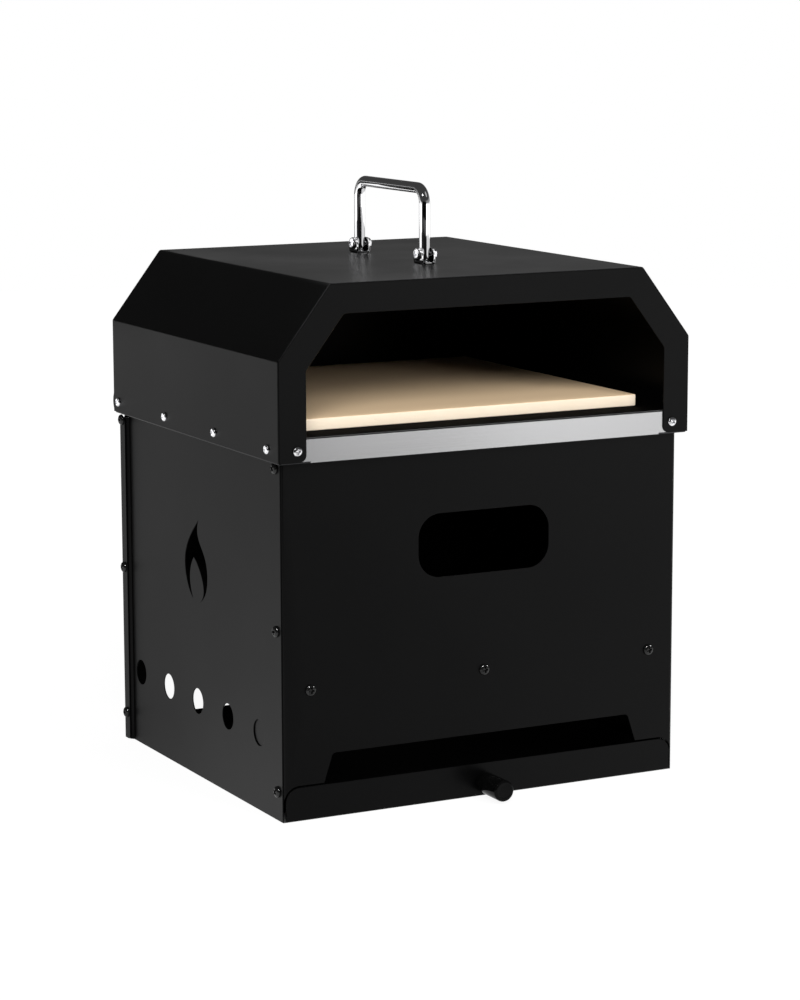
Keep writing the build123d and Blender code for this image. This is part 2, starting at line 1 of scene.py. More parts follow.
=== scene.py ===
"""Looks of a portable pizza oven: black sheet metal, a steel floor, a chromed handle and a baking stone.

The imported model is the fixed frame. Every piece here is a surface worked out with numpy, or a merged copy of
a packed sheet panel with rounded edges, and rides on the body of the node that it stands for. Sizes are in
millimetres until a mesh is made, and X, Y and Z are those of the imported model. The studio's places and sizes
are in metres.
"""

from __future__ import annotations

import json
import logging
import math
from dataclasses import dataclass, field
from enum import Enum

import bmesh
import bpy
import numpy as np
from mathutils import Matrix, Vector

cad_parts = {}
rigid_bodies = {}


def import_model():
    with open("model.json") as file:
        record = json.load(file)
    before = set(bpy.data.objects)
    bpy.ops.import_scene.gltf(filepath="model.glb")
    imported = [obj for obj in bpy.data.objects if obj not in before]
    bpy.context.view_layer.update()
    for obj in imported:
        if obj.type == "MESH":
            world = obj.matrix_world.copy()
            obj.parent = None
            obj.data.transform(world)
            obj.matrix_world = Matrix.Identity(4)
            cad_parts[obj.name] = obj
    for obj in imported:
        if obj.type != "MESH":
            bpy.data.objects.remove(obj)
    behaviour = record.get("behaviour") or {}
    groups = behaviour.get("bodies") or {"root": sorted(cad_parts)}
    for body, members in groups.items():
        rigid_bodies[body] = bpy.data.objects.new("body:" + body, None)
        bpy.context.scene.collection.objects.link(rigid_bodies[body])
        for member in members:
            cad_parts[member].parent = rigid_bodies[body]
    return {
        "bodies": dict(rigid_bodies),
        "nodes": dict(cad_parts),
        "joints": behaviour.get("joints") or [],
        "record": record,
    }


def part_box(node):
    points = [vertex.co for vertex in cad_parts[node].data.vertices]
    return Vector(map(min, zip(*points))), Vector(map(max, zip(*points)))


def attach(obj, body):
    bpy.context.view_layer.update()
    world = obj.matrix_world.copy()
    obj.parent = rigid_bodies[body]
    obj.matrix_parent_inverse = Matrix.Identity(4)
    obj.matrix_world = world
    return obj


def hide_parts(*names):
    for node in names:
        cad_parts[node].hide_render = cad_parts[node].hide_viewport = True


MM = 0.001
WHITE = (1.0, 1.0, 1.0, 1.0)
FLAT_TURN_DEG = 0.6
MERGE_DIGITS = 4
CARD_POWER = 4.0
NOISE_BAND = (0.3, 0.7)
LOG = logging.getLogger("pizza_oven")
PACKED: dict[str, bpy.types.Object] = {}
Triple = tuple[float, float, float]
Socket = bpy.types.NodeSocket


class Slot(Enum):
    """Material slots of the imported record."""

    POWDER_COAT = "powder_coat"
    FLOOR_STEEL = "floor_steel"
    HANDLE_CHROME = "handle_chrome"
    BRIGHT_ZINC = "bright_zinc"
    BLACK_SCREW = "black_screw"
    GRATE_WIRE = "grate_wire"
    BAKING_STONE = "baking_stone"
    KNOB_PLASTIC = "knob_plastic"


class Body(Enum):
    """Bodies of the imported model, which the pieces ride on."""

    FIREBOX = "firebox"
    OVEN = "oven"
    STONE = "stone"
    COAL_GRATE = "coal_grate"
    ASH_TRAY = "ash_tray"


class HeadSide(Enum):
    """Which way the screw heads of one node face along their axis."""

    LOW = -1
    HIGH = 1
    AWAY = 0


class LitSet(Enum):
    """Sets of pieces that have lamps or cards of their own."""

    POLISHED_HANDLE = "polished_handle"
    BRIGHT_SCREWS = "bright_screws"
    BLACK_SCREWS = "black_screws"

    def pieces(self) -> bpy.types.Collection:
        """The set's collection, made once."""
        return bpy.data.collections.get(self.value) or bpy.data.collections.new(self.value)


# Surfaces


@dataclass
class Surface:
    """A mesh that is still in numpy: points in millimetres, and faces as arrays of quads or triangles."""

    points: np.ndarray
    faces: list[np.ndarray]


def grid_quads(rows: int, columns: int, wrap_rows: bool = False, wrap_columns: bool = False) -> np.ndarray:
    """Quads between the neighbouring points of a grid.

    Args:
        rows: number of rows.
        columns: number of points in a row.
        wrap_rows: whether the last row joins the first.
        wrap_columns: whether each row is a closed ring.

    Returns:
        Array of four point numbers for each quad.
    """
    row = np.arange(rows if wrap_rows else rows - 1)
    column = np.arange(columns if wrap_columns else columns - 1)
    row, column = np.meshgrid(row, column, indexing="ij")
    below = (row + 1) % rows
    beside = (column + 1) % columns
    here, under = row * columns, below * columns
    return np.stack([here + column, under + column, under + beside, here + beside], axis=-1).reshape(-1, 4)


def spread(*coordinates: np.ndarray | float) -> np.ndarray:
    """Points from their coordinates, each of them repeated over the rows and columns of the others."""
    return np.stack(np.broadcast_arrays(*coordinates), axis=-1)


def full_turn(columns: int) -> np.ndarray:
    """Even angles round a full turn."""
    return np.linspace(0, 2 * math.pi, columns, endpoint=False)


def normals(points: np.ndarray, faces: np.ndarray) -> np.ndarray:
    """Cross product of the first two edges of each face."""
    a, b, c = points[faces[:, 0]], points[faces[:, 1]], points[faces[:, 2]]
    return np.cross(b - a, c - b)


def sheet_grid(points: np.ndarray, wrap_columns: bool = False) -> Surface:
    """Open sheet from a grid of points, rows by columns."""
    rows, columns = points.shape[:2]
    return Surface(points.reshape(-1, 3), [grid_quads(rows, columns, wrap_columns=wrap_columns)])


def closed_rings(rings: np.ndarray, close_last: bool = True) -> Surface:
    """Rings of points joined row by row, with the first and, if wanted, the last filled by fans.

    Args:
        rings: rows of points round the surface.
        close_last: whether the last row is filled.

    Returns:
        The surface, closed at the filled rows.
    """
    rows, columns = rings.shape[:2]
    points = [rings.reshape(-1, 3)]
    faces = [grid_quads(rows, columns, wrap_columns=True)]
    here = np.arange(columns)
    there = (here + 1) % columns
    count = rows * columns
    for row in (0, rows - 1) if close_last else (0,):
        points.append(rings[row].mean(axis=0, keepdims=True))
        pair = (there, here) if row else (here, there)
        fan = [row * columns + pair[0], row * columns + pair[1], np.full(columns, count)]
        faces.append(np.stack(fan, axis=-1))
        count += 1
    return Surface(np.concatenate(points), faces)


def loop_between(lines: list[tuple[np.ndarray, float]]) -> Surface:
    """Closed piece round a loop of lines in X and Z, each at its own Y, whose points pair up along them."""
    return closed_rings(np.stack([spread(line[:, 0], y, line[:, 1]) for line, y in lines], axis=1))


def joined(surfaces: list[Surface]) -> Surface:
    """Several surfaces as one, their faces renumbered."""
    starts = np.cumsum([0] + [len(s.points) for s in surfaces])
    faces = [face + start for s, start in zip(surfaces, starts) for face in s.faces]
    return Surface(np.concatenate([s.points for s in surfaces]), faces)


def outward(surface: Surface, middle: Triple = (0.0, 0.0, 0.0)) -> Surface:
    """The surface with its faces turned away from a middle point.

    The sum over the triangles of the triple product of their corners, taken from the middle, is six times
    the volume between surface and middle. Where it is negative, every face is turned round.

    Args:
        surface: the surface.
        middle: a point that it faces away from.

    Returns:
        The same surface, turned round where needed.
    """
    corners = surface.points - np.asarray(middle)
    total = 0.0
    for face in surface.faces:
        for step in range(1, face.shape[1] - 1):
            a, b, c = corners[face[:, 0]], corners[face[:, step]], corners[face[:, step + 1]]
            total += float(np.einsum("ij,ij->", a, np.cross(b, c)))
    if total >= 0:
        return surface
    return Surface(surface.points, [face[:, ::-1] for face in surface.faces])


def rounded_path(corners: np.ndarray, radii: np.ndarray | float, steps: int = 8,
                 closed: bool = False) -> np.ndarray:
    """Path through corners whose bends are arcs, in two or three dimensions.

    An arc starts and ends one radius times the tangent of half the turn away from its corner. Its centre
    lies on the line that halves the corner, and its points are the spherical mix of the two arms from there.

    Args:
        corners: the corner points.
        radii: bend radius, one for all corners or one each.
        steps: points on each arc.
        closed: whether the path is a ring. The ends of an open path stay as they are.

    Returns:
        Array of the path's points.
    """
    corners = np.asarray(corners, float)
    radius = np.broadcast_to(np.asarray(radii, float), len(corners))[:, None]
    behind = np.roll(corners, 1, axis=0) - corners
    ahead = np.roll(corners, -1, axis=0) - corners
    behind = behind / np.linalg.norm(behind, axis=1, keepdims=True)
    ahead = ahead / np.linalg.norm(ahead, axis=1, keepdims=True)
    turn = math.pi - np.arccos(np.clip(np.sum(behind * ahead, axis=1, keepdims=True), -1, 1))
    reach = radius * np.tan(turn / 2)
    halving = behind + ahead
    halving = halving / np.maximum(np.linalg.norm(halving, axis=1, keepdims=True), 1e-9)
    centre = corners + halving * radius / np.cos(turn / 2)
    first_arm = corners + behind * reach - centre
    last_arm = corners + ahead * reach - centre
    share = np.linspace(0, 1, steps)[None, :, None]
    turn = turn[:, None]
    mix = np.sin((1 - share) * turn) * first_arm[:, None] + np.sin(share * turn) * last_arm[:, None]
    arcs = centre[:, None] + mix / np.sin(turn)
    if closed:
        return arcs.reshape(-1, corners.shape[1])
    inner = arcs[1:-1].reshape(-1, corners.shape[1])
    return np.concatenate([corners[:1], inner, corners[-1:]])


def held_flat(path: np.ndarray, reach: float = 1.0, long_reaches: float = 4.0) -> np.ndarray:
    """The path with a point one reach from each end of its long runs, so that smooth shading stays flat.

    Args:
        path: the path.
        reach: distance of the new points from the run's ends.
        long_reaches: how many reaches a run has to be longer than.

    Returns:
        The path with the new points.
    """
    start, end = path[:-1], path[1:]
    length = np.linalg.norm(end - start, axis=1)
    long = length > long_reaches * reach
    way = (end - start) / length[:, None]
    points = np.stack([start, start + reach * way, end - reach * way], axis=1)
    kept = np.stack([np.full(len(start), True), long, long], axis=1)
    return np.concatenate([points[kept], path[-1:]])


def quarter(radius: float, steps: int = 5) -> tuple[np.ndarray, np.ndarray]:
    """Quarter circle round an edge, as its points' distances from the side that it ends on and starts on.

    They are the radius times one minus the sine of the angle, and times one minus its cosine.
    """
    turn = np.linspace(0, math.pi / 2, steps)
    return radius * (1 - np.sin(turn)), radius * (1 - np.cos(turn))


def rod_along(path: np.ndarray, radius: float, across: Triple, columns: int, end_radius: float,
              end_steps: int = 4) -> Surface:
    """Round rod whose circle is carried along a flat path, with rounded ends.

    A point is the path's point plus the radius times the cosine of an angle along the fixed across
    direction and its sine along the direction square to both across and the path. At each end the radius
    grows from the end face over a quarter circle.

    Args:
        path: the centre line.
        radius: the rod's radius.
        across: direction square to the path's plane.
        columns: points round the rod.
        end_radius: radius of the softened end.
        end_steps: rings on the softened end.

    Returns:
        The closed rod.
    """
    drop, inset = quarter(end_radius, end_steps)
    radii = radius - drop
    start_way = (path[1] - path[0]) / np.linalg.norm(path[1] - path[0])
    end_way = (path[-2] - path[-1]) / np.linalg.norm(path[-2] - path[-1])
    first = path[0] + inset[:, None] * start_way
    last = (path[-1] + inset[:, None] * end_way)[::-1]
    line = np.concatenate([first, path[1:-1], last])
    thick = np.concatenate([radii, np.full(len(path) - 2, radius), radii[::-1]])
    way = np.gradient(line, axis=0)
    way = way / np.linalg.norm(way, axis=1, keepdims=True)
    side = np.asarray(across, float)
    upward = np.cross(way, side)
    angle = full_turn(columns)
    ring = np.cos(angle)[None, :, None] * side + np.sin(angle)[None, :, None] * upward[:, None]
    return outward(closed_rings(line[:, None] + thick[:, None, None] * ring), tuple(line.mean(axis=0)))


def turned(profile: np.ndarray, columns: int) -> Surface:
    """Piece turned about Z: radius times the cosine and sine of the angle, at the profile's height."""
    angle = full_turn(columns)
    radius, height = profile[:, :1], profile[:, 1:]
    return outward(closed_rings(spread(radius * np.cos(angle), radius * np.sin(angle), height)))


def rounded_rectangle(low: tuple[float, float], high: tuple[float, float], radius: float,
                      steps: int = 5) -> np.ndarray:
    """Ring of points round a rectangle in X and Y with round corners."""
    corners = [(low[0], low[1]), (high[0], low[1]), (high[0], high[1]), (low[0], high[1])]
    return rounded_path(np.array(corners), radius, steps, closed=True)


def inset_rings(low: np.ndarray, high: np.ndarray, radius: float, insets: np.ndarray | list[float],
                heights: np.ndarray | list[float], steps: int = 5) -> np.ndarray:
    """Level rings of a rounded rectangle, each moved in by its inset and set at its height.

    Args:
        low: lowest X and Y.
        high: highest X and Y.
        radius: the corners' radius.
        insets: how far each ring lies inside.
        heights: Z of each ring.
        steps: points on each corner.

    Returns:
        Array of rings by points by three.
    """
    rings = []
    for inset, z in zip(insets, heights):
        near, far = (low[0] + inset, low[1] + inset), (high[0] - inset, high[1] - inset)
        ring = rounded_rectangle(near, far, radius, steps)
        rings.append(spread(ring[:, 0], ring[:, 1], z))
    return np.stack(rings)


def facing(surface: Surface, direction: np.ndarray, seat: np.ndarray, spin: float = 0.0) -> Surface:
    """A piece drawn about local Z, spun about it, then set on a seat with local Z along a direction.

    Args:
        surface: the piece, drawn about local Z.
        direction: where local Z goes.
        seat: where its origin goes.
        spin: turn about local Z, in radians.

    Returns:
        The piece in place.
    """
    z = np.asarray(direction, float)
    x = np.array([0.0, 1.0, 0.0]) if abs(z[2]) > 0.5 else np.array([0.0, 0.0, 1.0])
    y = np.cross(z, x)
    c, s = math.cos(spin), math.sin(spin)
    axes = np.stack([c * x + s * y, c * y - s * x, z])
    return Surface(surface.points @ axes + np.asarray(seat), surface.faces)


# Objects


def make_mesh(name: str, surface: Surface) -> bpy.types.Mesh:
    """Blender mesh of a surface, in metres.

    Args:
        name: the mesh's name.
        surface: its points in millimetres and its faces.

    Returns:
        The mesh.
    """
    mesh = bpy.data.meshes.new(name)
    corners = np.concatenate([face.ravel() for face in surface.faces]).astype(np.int32)
    sizes = np.concatenate([np.full(len(face), face.shape[1]) for face in surface.faces])
    starts = np.concatenate([[0], np.cumsum(sizes)[:-1]]).astype(np.int32)
    mesh.vertices.add(len(surface.points))
    mesh.vertices.foreach_set("co", (surface.points * MM).astype(np.float32).ravel())
    mesh.loops.add(len(corners))
    mesh.loops.foreach_set("vertex_index", corners)
    mesh.polygons.add(len(starts))
    mesh.polygons.foreach_set("loop_start", starts)
    mesh.update(calc_edges=True)
    mesh.validate()
    return mesh


def smooth_between_edges(mesh: bpy.types.Mesh, angle_deg: float = 32.0) -> None:
    """Shades a mesh smooth, with edges sharper than the angle kept sharp."""
    mesh.shade_smooth()
    mesh.set_sharp_from_angle(angle=math.radians(angle_deg))


def add_thickness(obj: bpy.types.Object, thickness: float) -> None:
    """Gives an open sheet its thickness, away from the side that its faces point to.

    Args:
        obj: the piece.
        thickness: the sheet's thickness in millimetres.
    """
    solid = obj.modifiers.new("Thickness", "SOLIDIFY")
    solid.thickness = thickness * MM
    solid.offset = -1.0
    solid.use_even_offset = True
    solid.use_quality_normals = True


def add_soft_edges(obj: bpy.types.Object, width: float, segments: int = 2, angle_deg: float = 40.0) -> None:
    """Rounds the edges sharper than the angle.

    Args:
        obj: the piece.
        width: width of the rounding in millimetres.
        segments: faces across it.
        angle_deg: least turn of a rounded edge.
    """
    bevel = obj.modifiers.new("Soft edges", "BEVEL")
    bevel.width = width * MM
    bevel.segments = segments
    bevel.limit_method = "ANGLE"
    bevel.angle_limit = math.radians(angle_deg)
    bevel.use_clamp_overlap = False
    bevel.harden_normals = True


def node_points(node: str) -> tuple[np.ndarray, np.ndarray]:
    """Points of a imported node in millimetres, with equal ones merged, and its triangles.

    Args:
        node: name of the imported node.

    Returns:
        Its points and its triangles' point numbers.
    """
    mesh = PACKED[node].data
    points = np.zeros(len(mesh.vertices) * 3)
    mesh.vertices.foreach_get("co", points)
    mesh.calc_loop_triangles()
    triangles = np.zeros(len(mesh.loop_triangles) * 3, np.int32)
    mesh.loop_triangles.foreach_get("vertices", triangles)
    keys = np.round(points.reshape(-1, 3) / MM, MERGE_DIGITS)
    merged, place = np.unique(keys, axis=0, return_inverse=True)
    triangles = place.ravel()[triangles].reshape(-1, 3)
    whole = (triangles[:, 0] != triangles[:, 1]) & (triangles[:, 1] != triangles[:, 2])
    whole &= triangles[:, 2] != triangles[:, 0]
    return merged, triangles[whole]


def solid_boxes(node: str) -> np.ndarray:
    """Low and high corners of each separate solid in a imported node.

    Every point starts with its own number, and each triangle hands its lowest number to its corners until
    nothing changes, so the points of one solid end with one number.

    Args:
        node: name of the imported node.

    Returns:
        Array of solids by two corners by three, in millimetres.
    """
    points, triangles = node_points(node)
    label = np.arange(len(points))
    while True:
        lowest = label[triangles].min(axis=1)
        handed = label.copy()
        np.minimum.at(handed, triangles.ravel(), np.repeat(lowest, 3))
        if np.array_equal(handed, label):
            break
        label = handed
    _, place = np.unique(label, return_inverse=True)
    count = place.max() + 1
    low = np.full((count, 3), np.inf)
    high = np.full((count, 3), -np.inf)
    np.minimum.at(low, place, points)
    np.maximum.at(high, place, points)
    return np.stack([low, high], axis=1)


def mark_points(obj: bpy.types.Object, name: str, amount: np.ndarray) -> None:
    """Notes an amount at every point of a piece, which its finish reads by name."""
    noted = obj.data.attributes.new(name, "FLOAT", "POINT")
    noted.data.foreach_set("value", np.asarray(amount, np.float32))


def points_mm(obj: bpy.types.Object) -> np.ndarray:
    """Points of a piece's mesh, in millimetres."""
    points = np.zeros(len(obj.data.vertices) * 3, np.float32)
    obj.data.vertices.foreach_get("co", points)
    return points.reshape(-1, 3) / MM


def box_mm(node: str) -> tuple[np.ndarray, np.ndarray]:
    """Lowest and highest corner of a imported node, in millimetres."""
    low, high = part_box(node)
    return np.array(low) / MM, np.array(high) / MM


def set_piece(obj: bpy.types.Object, finish: Finish, body: Body,
              nodes: tuple[str, ...]) -> bpy.types.Object:
    """Dresses a new piece, sets it on its body and lets it stand for its nodes.

    Args:
        obj: the piece, already in place.
        finish: its finish.
        body: the body that it moves with.
        nodes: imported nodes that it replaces.

    Returns:
        The same piece.
    """
    if not obj.users_collection:
        bpy.context.scene.collection.objects.link(obj)
    obj.data.materials.clear()
    obj.data.materials.append(finish.material())
    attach(obj, body.value)
    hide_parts(*nodes)
    LOG.info("%s: %d points, %d faces", obj.name, len(obj.data.vertices), len(obj.data.polygons))
    return obj


def new_piece(name: str, surface: Surface, finish: Finish, body: Body,
              nodes: tuple[str, ...]) -> bpy.types.Object:
    """New piece from a surface, smooth between its sharp edges."""
    mesh = make_mesh(name, surface)
    smooth_between_edges(mesh)
    return set_piece(bpy.data.objects.new(name, mesh), finish, body, nodes)


def merged_copy(node: str) -> bpy.types.Mesh:
    """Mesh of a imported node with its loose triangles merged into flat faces.

    Args:
        node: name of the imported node.

    Returns:
        The merged mesh.
    """
    points, triangles = node_points(node)
    mesh = make_mesh(node + "_rounded", Surface(points, [triangles]))
    shape = bmesh.new()
    shape.from_mesh(mesh)
    bmesh.ops.dissolve_limit(shape, angle_limit=math.radians(FLAT_TURN_DEG), verts=shape.verts,
                              edges=shape.edges)
    shape.to_mesh(mesh)
    shape.free()
    smooth_between_edges(mesh)
    return mesh


def rounded_panel(node: str, finish: Finish, body: Body, edge: float = 0.3) -> bpy.types.Object:
    """Merged copy of a packed sheet panel with rounded edges, in the node's place."""
    obj = bpy.data.objects.new(node + "_rounded", merged_copy(node))
    set_piece(obj, finish, body, (node,))
    add_soft_edges(obj, edge)
    return obj


# Shared shader groups


@dataclass(frozen=True)
class Fade:
    """Smooth step from one level to another while a value goes from its start to its end."""

    start: float
    end: float
    first: float = 0.0
    last: float = 1.0


class Sheet:
    """A node tree being wired: adds nodes and links them."""

    def __init__(self, tree: bpy.types.NodeTree) -> None:
        """Starts on an empty tree."""
        self.tree = tree

    def add(self, kind: str, **settings: object) -> bpy.types.Node:
        """New node of a kind, with its settings. A setting for a socket is given by name in `inputs`."""
        node = self.tree.nodes.new(kind)
        inputs = settings.pop("inputs", {})
        for name, value in settings.items():
            setattr(node, name, value)
        for name, value in inputs.items():
            node.inputs[name].default_value = value
        return node

    def link(self, start: Socket, end: Socket) -> None:
        """Links an output to an input."""
        self.tree.links.new(start, end)

    def feed(self, end: Socket, value: Socket | float) -> None:
        """Links an output to an input, or sets the input to a number."""
        if isinstance(value, bpy.types.NodeSocket):
            self.link(value, end)
        else:
            end.default_value = value

    def calculate(self, operation: str, *values: Socket | float) -> Socket:
        """Result of one sum on outputs and numbers."""
        node = self.add("ShaderNodeMath", operation=operation)
        for value, end in zip(values, node.inputs):
            self.feed(end, value)
        return node.outputs["Value"]

    def combined(self, operation: str, *values: Socket | float) -> Socket:
        """Result of the same sum on the first two values, then on that and the third, and so on."""
        result = values[0]
        for value in values[1:]:
            result = self.calculate(operation, result, value)
        return result

    def between(self, mask: Socket, low: Socket | float, high: Socket | float) -> Socket:
        """Value that goes evenly from low to high while a mask goes from 0 to 1."""
        node = self.add("ShaderNodeMapRange")
        for name, value in (("Value", mask), ("To Min", low), ("To Max", high)):
            self.feed(node.inputs[name], value)
        return node.outputs["Result"]

    def faded(self, value: Socket, fade: Fade) -> Socket:
        """Level of a fade at a value."""
        ends = {"From Min": fade.start, "From Max": fade.end, "To Min": fade.first, "To Max": fade.last}
        node = self.add("ShaderNodeMapRange", interpolation_type="SMOOTHSTEP", inputs=ends)
        self.link(value, node.inputs["Value"])
        return node.outputs["Result"]

    def risen(self, value: Socket, start: float, end: float) -> Socket:
        """Value that goes evenly from 0 to 1 while another goes from a start to an end."""
        node = self.add("ShaderNodeMapRange", inputs={"From Min": start, "From Max": end})
        self.link(value, node.inputs["Value"])
        return node.outputs["Result"]

    def cosine(self, way: Socket, middle: Triple) -> Socket:
        """Cosine of the angle between two unit vectors."""
        node = self.add("ShaderNodeVectorMath", operation="DOT_PRODUCT")
        self.link(way, node.inputs[0])
        node.inputs[1].default_value = middle
        return node.outputs["Value"]

    def seen_rays(self, *kinds: str) -> Socket:
        """1 for rays of the given kinds, such as Camera, and 0 for others."""
        path = self.add("ShaderNodeLightPath")
        return self.combined("MAXIMUM", *[path.outputs[f"Is {kind} Ray"] for kind in kinds])


def empty_sheet(owner: bpy.types.Material | bpy.types.World) -> Sheet:
    """Sheet on the cleared node tree of a material or a world."""
    owner.use_nodes = True
    owner.node_tree.nodes.clear()
    return Sheet(owner.node_tree)


def group_tree(name: str, inputs: dict[str, float | None], outputs: tuple[str, ...]
               ) -> tuple[Sheet, bpy.types.Node, bpy.types.Node]:
    """Empty shader group with named sockets.

    Args:
        name: the group's name.
        inputs: socket names with their defaults, None for a vector.
        outputs: names of the value outputs.

    Returns:
        The sheet to wire, its input node and its output node.
    """
    tree = bpy.data.node_groups.new(name, "ShaderNodeTree")
    for socket, default in inputs.items():
        kind = "NodeSocketVector" if default is None else "NodeSocketFloat"
        item = tree.interface.new_socket(socket, in_out="INPUT", socket_type=kind)
        if default is not None:
            item.default_value = default
    for socket in outputs:
        tree.interface.new_socket(socket, in_out="OUTPUT", socket_type="NodeSocketFloat")
    sheet = Sheet(tree)
    return sheet, sheet.add("NodeGroupInput"), sheet.add("NodeGroupOutput")


def grain_group() -> bpy.types.NodeTree:
    """Fine rounded bumps, as on a powder coat: a smooth noise, and a broader one as a mask."""
    name = "fine_grain"
    if name in bpy.data.node_groups:
        return bpy.data.node_groups[name]
    sheet, given, made = group_tree(name, {"Vector": None, "Scale": 900.0, "Broad Scale": 9.0},
                                    ("Height", "Mask"))
    fine = sheet.add("ShaderNodeTexNoise", inputs={"Detail": 1.0, "Roughness": 0.4})
    broad = sheet.add("ShaderNodeTexNoise", inputs={"Detail": 3.0, "Roughness": 0.55})
    for node, scale in ((fine, "Scale"), (broad, "Broad Scale")):
        sheet.link(given.outputs["Vector"], node.inputs["Vector"])
        sheet.link(given.outputs[scale], node.inputs["Scale"])
    sheet.link(fine.outputs["Fac"], made.inputs["Height"])
    sheet.link(sheet.risen(broad.outputs["Fac"], *NOISE_BAND), made.inputs["Mask"])
    return sheet.tree


def streak_group() -> bpy.types.NodeTree:
    """Brushing: noise drawn out along X and Y, so that the streaks lie level."""
    name = "brushed_streaks"
    if name in bpy.data.node_groups:
        return bpy.data.node_groups[name]
    sheet, given, made = group_tree(name, {"Vector": None, "Along": 4.0, "Across": 900.0},
                                    ("Height", "Mask"))
    stretch = sheet.add("ShaderNodeCombineXYZ")
    for axis, scale in (("X", "Along"), ("Y", "Along"), ("Z", "Across")):
        sheet.link(given.outputs[scale], stretch.inputs[axis])
    drawn = sheet.add("ShaderNodeVectorMath", operation="MULTIPLY")
    sheet.link(given.outputs["Vector"], drawn.inputs[0])
    sheet.link(stretch.outputs["Vector"], drawn.inputs[1])
    noise = sheet.add("ShaderNodeTexNoise", inputs={"Scale": 1.0, "Detail": 4.0, "Roughness": 0.6})
    sheet.link(drawn.outputs["Vector"], noise.inputs["Vector"])
    sheet.link(noise.outputs["Fac"], made.inputs["Height"])
    sheet.link(sheet.risen(noise.outputs["Fac"], *NOISE_BAND), made.inputs["Mask"])
    return sheet.tree


def speckle_group() -> bpy.types.NodeTree:
    """Pores and grains of fired clay: cells for the pores, and two noises for grain and cloudy tone."""
    name = "clay_speckle"
    if name in bpy.data.node_groups:
        return bpy.data.node_groups[name]
    sheet, given, made = group_tree(name, {"Vector": None, "Grain Scale": 700.0, "Pore Scale": 260.0},
                                    ("Height", "Pores", "Cloud"))
    grain = sheet.add("ShaderNodeTexNoise", inputs={"Detail": 4.0, "Roughness": 0.65})
    cell = sheet.add("ShaderNodeTexVoronoi", inputs={"Randomness": 1.0})
    cloud = sheet.add("ShaderNodeTexNoise", inputs={"Scale": 22.0, "Detail": 4.0, "Roughness": 0.6})
    for node in (grain, cell, cloud):
        sheet.link(given.outputs["Vector"], node.inputs["Vector"])
    sheet.link(given.outputs["Grain Scale"], grain.inputs["Scale"])
    sheet.link(given.outputs["Pore Scale"], cell.inputs["Scale"])
    pit = sheet.add("ShaderNodeMapRange",
                    inputs={"From Min": 0.08, "From Max": 0.24, "To Min": 1.0, "To Max": 0.0})
    sheet.link(cell.outputs["Distance"], pit.inputs["Value"])
    low = sheet.calculate("SUBTRACT", grain.outputs["Fac"], pit.outputs["Result"])
    sheet.link(low, made.inputs["Height"])
    sheet.link(pit.outputs["Result"], made.inputs["Pores"])
    sheet.link(cloud.outputs["Fac"], made.inputs["Cloud"])
    return sheet.tree


# Finishes


@dataclass(frozen=True)
class Finish:
    """What every finish shares: a slot, a shader and how the surface's masks feed it."""

    slot: Slot
    colour: Triple
    second: Triple
    roughness: tuple[float, float]
    metallic: float = 0.0
    specular_level: float = 0.5
    bump: float = 0.1
    bump_depth: float = 0.05

    def material(self) -> bpy.types.Material:
        """The finish's material, made once."""
        name = self.slot.value + "_finish"
        if name in bpy.data.materials:
            return bpy.data.materials[name]
        made = bpy.data.materials.new(name)
        made.use_nodes = True
        sheet = Sheet(made.node_tree)
        shader = made.node_tree.nodes["Principled BSDF"]
        shader.inputs["Metallic"].default_value = self.metallic
        shader.inputs["Specular IOR Level"].default_value = self.specular_level
        place = sheet.add("ShaderNodeTexCoord").outputs["Object"]
        self.dress(sheet, shader, place)
        return made

    def dress(self, sheet: Sheet, shader: bpy.types.Node, place: Socket) -> None:
        """Wires the finish's own pattern into the shader."""
        raise NotImplementedError

    def pattern(self, sheet: Sheet, tree: bpy.types.NodeTree, place: Socket,
                **values: float) -> bpy.types.Node:
        """A shared group in this material, with its values."""
        node = sheet.add("ShaderNodeGroup", node_tree=tree)
        sheet.link(place, node.inputs["Vector"])
        for name, value in values.items():
            node.inputs[name.replace("_", " ")].default_value = value
        return node

    def mixed(self, sheet: Sheet, mask: Socket, first: Socket | Triple, second: Triple) -> Socket:
        """Colour that goes from the first to the second with a mask.

        Args:
            sheet: the material being wired.
            mask: 0 for the first colour, 1 for the second.
            first: the first colour, or the output that gives it.
            second: the second colour.

        Returns:
            The mixed colour's output.
        """
        mix = sheet.add("ShaderNodeMix", data_type="RGBA")
        start, end = [socket for socket in mix.inputs if socket.type == "RGBA"]
        sheet.link(mask, mix.inputs["Factor"])
        sheet.feed(start, (*first, 1.0) if isinstance(first, tuple) else first)
        end.default_value = (*second, 1.0)
        return [socket for socket in mix.outputs if socket.type == "RGBA"][0]

    def height_mask(self, sheet: Sheet, place: Socket, start_z: float, full_z: float) -> Socket:
        """Mask that grows evenly from 0 to 1 between two heights in millimetres."""
        parts = sheet.add("ShaderNodeSeparateXYZ")
        sheet.link(place, parts.inputs["Vector"])
        return sheet.risen(parts.outputs["Z"], start_z * MM, full_z * MM)

    def vary_roughness(self, sheet: Sheet, shader: bpy.types.Node, mask: Socket) -> None:
        """Roughness between its two values with a mask."""
        sheet.link(sheet.between(mask, *self.roughness), shader.inputs["Roughness"])

    def raise_bumps(self, sheet: Sheet, shader: bpy.types.Node, height: Socket) -> None:
        """Bumps of the finish's depth."""
        bump = sheet.add("ShaderNodeBump", inputs={"Strength": self.bump, "Distance": self.bump_depth * MM})
        sheet.link(height, bump.inputs["Height"])
        sheet.link(bump.outputs["Normal"], shader.inputs["Normal"])


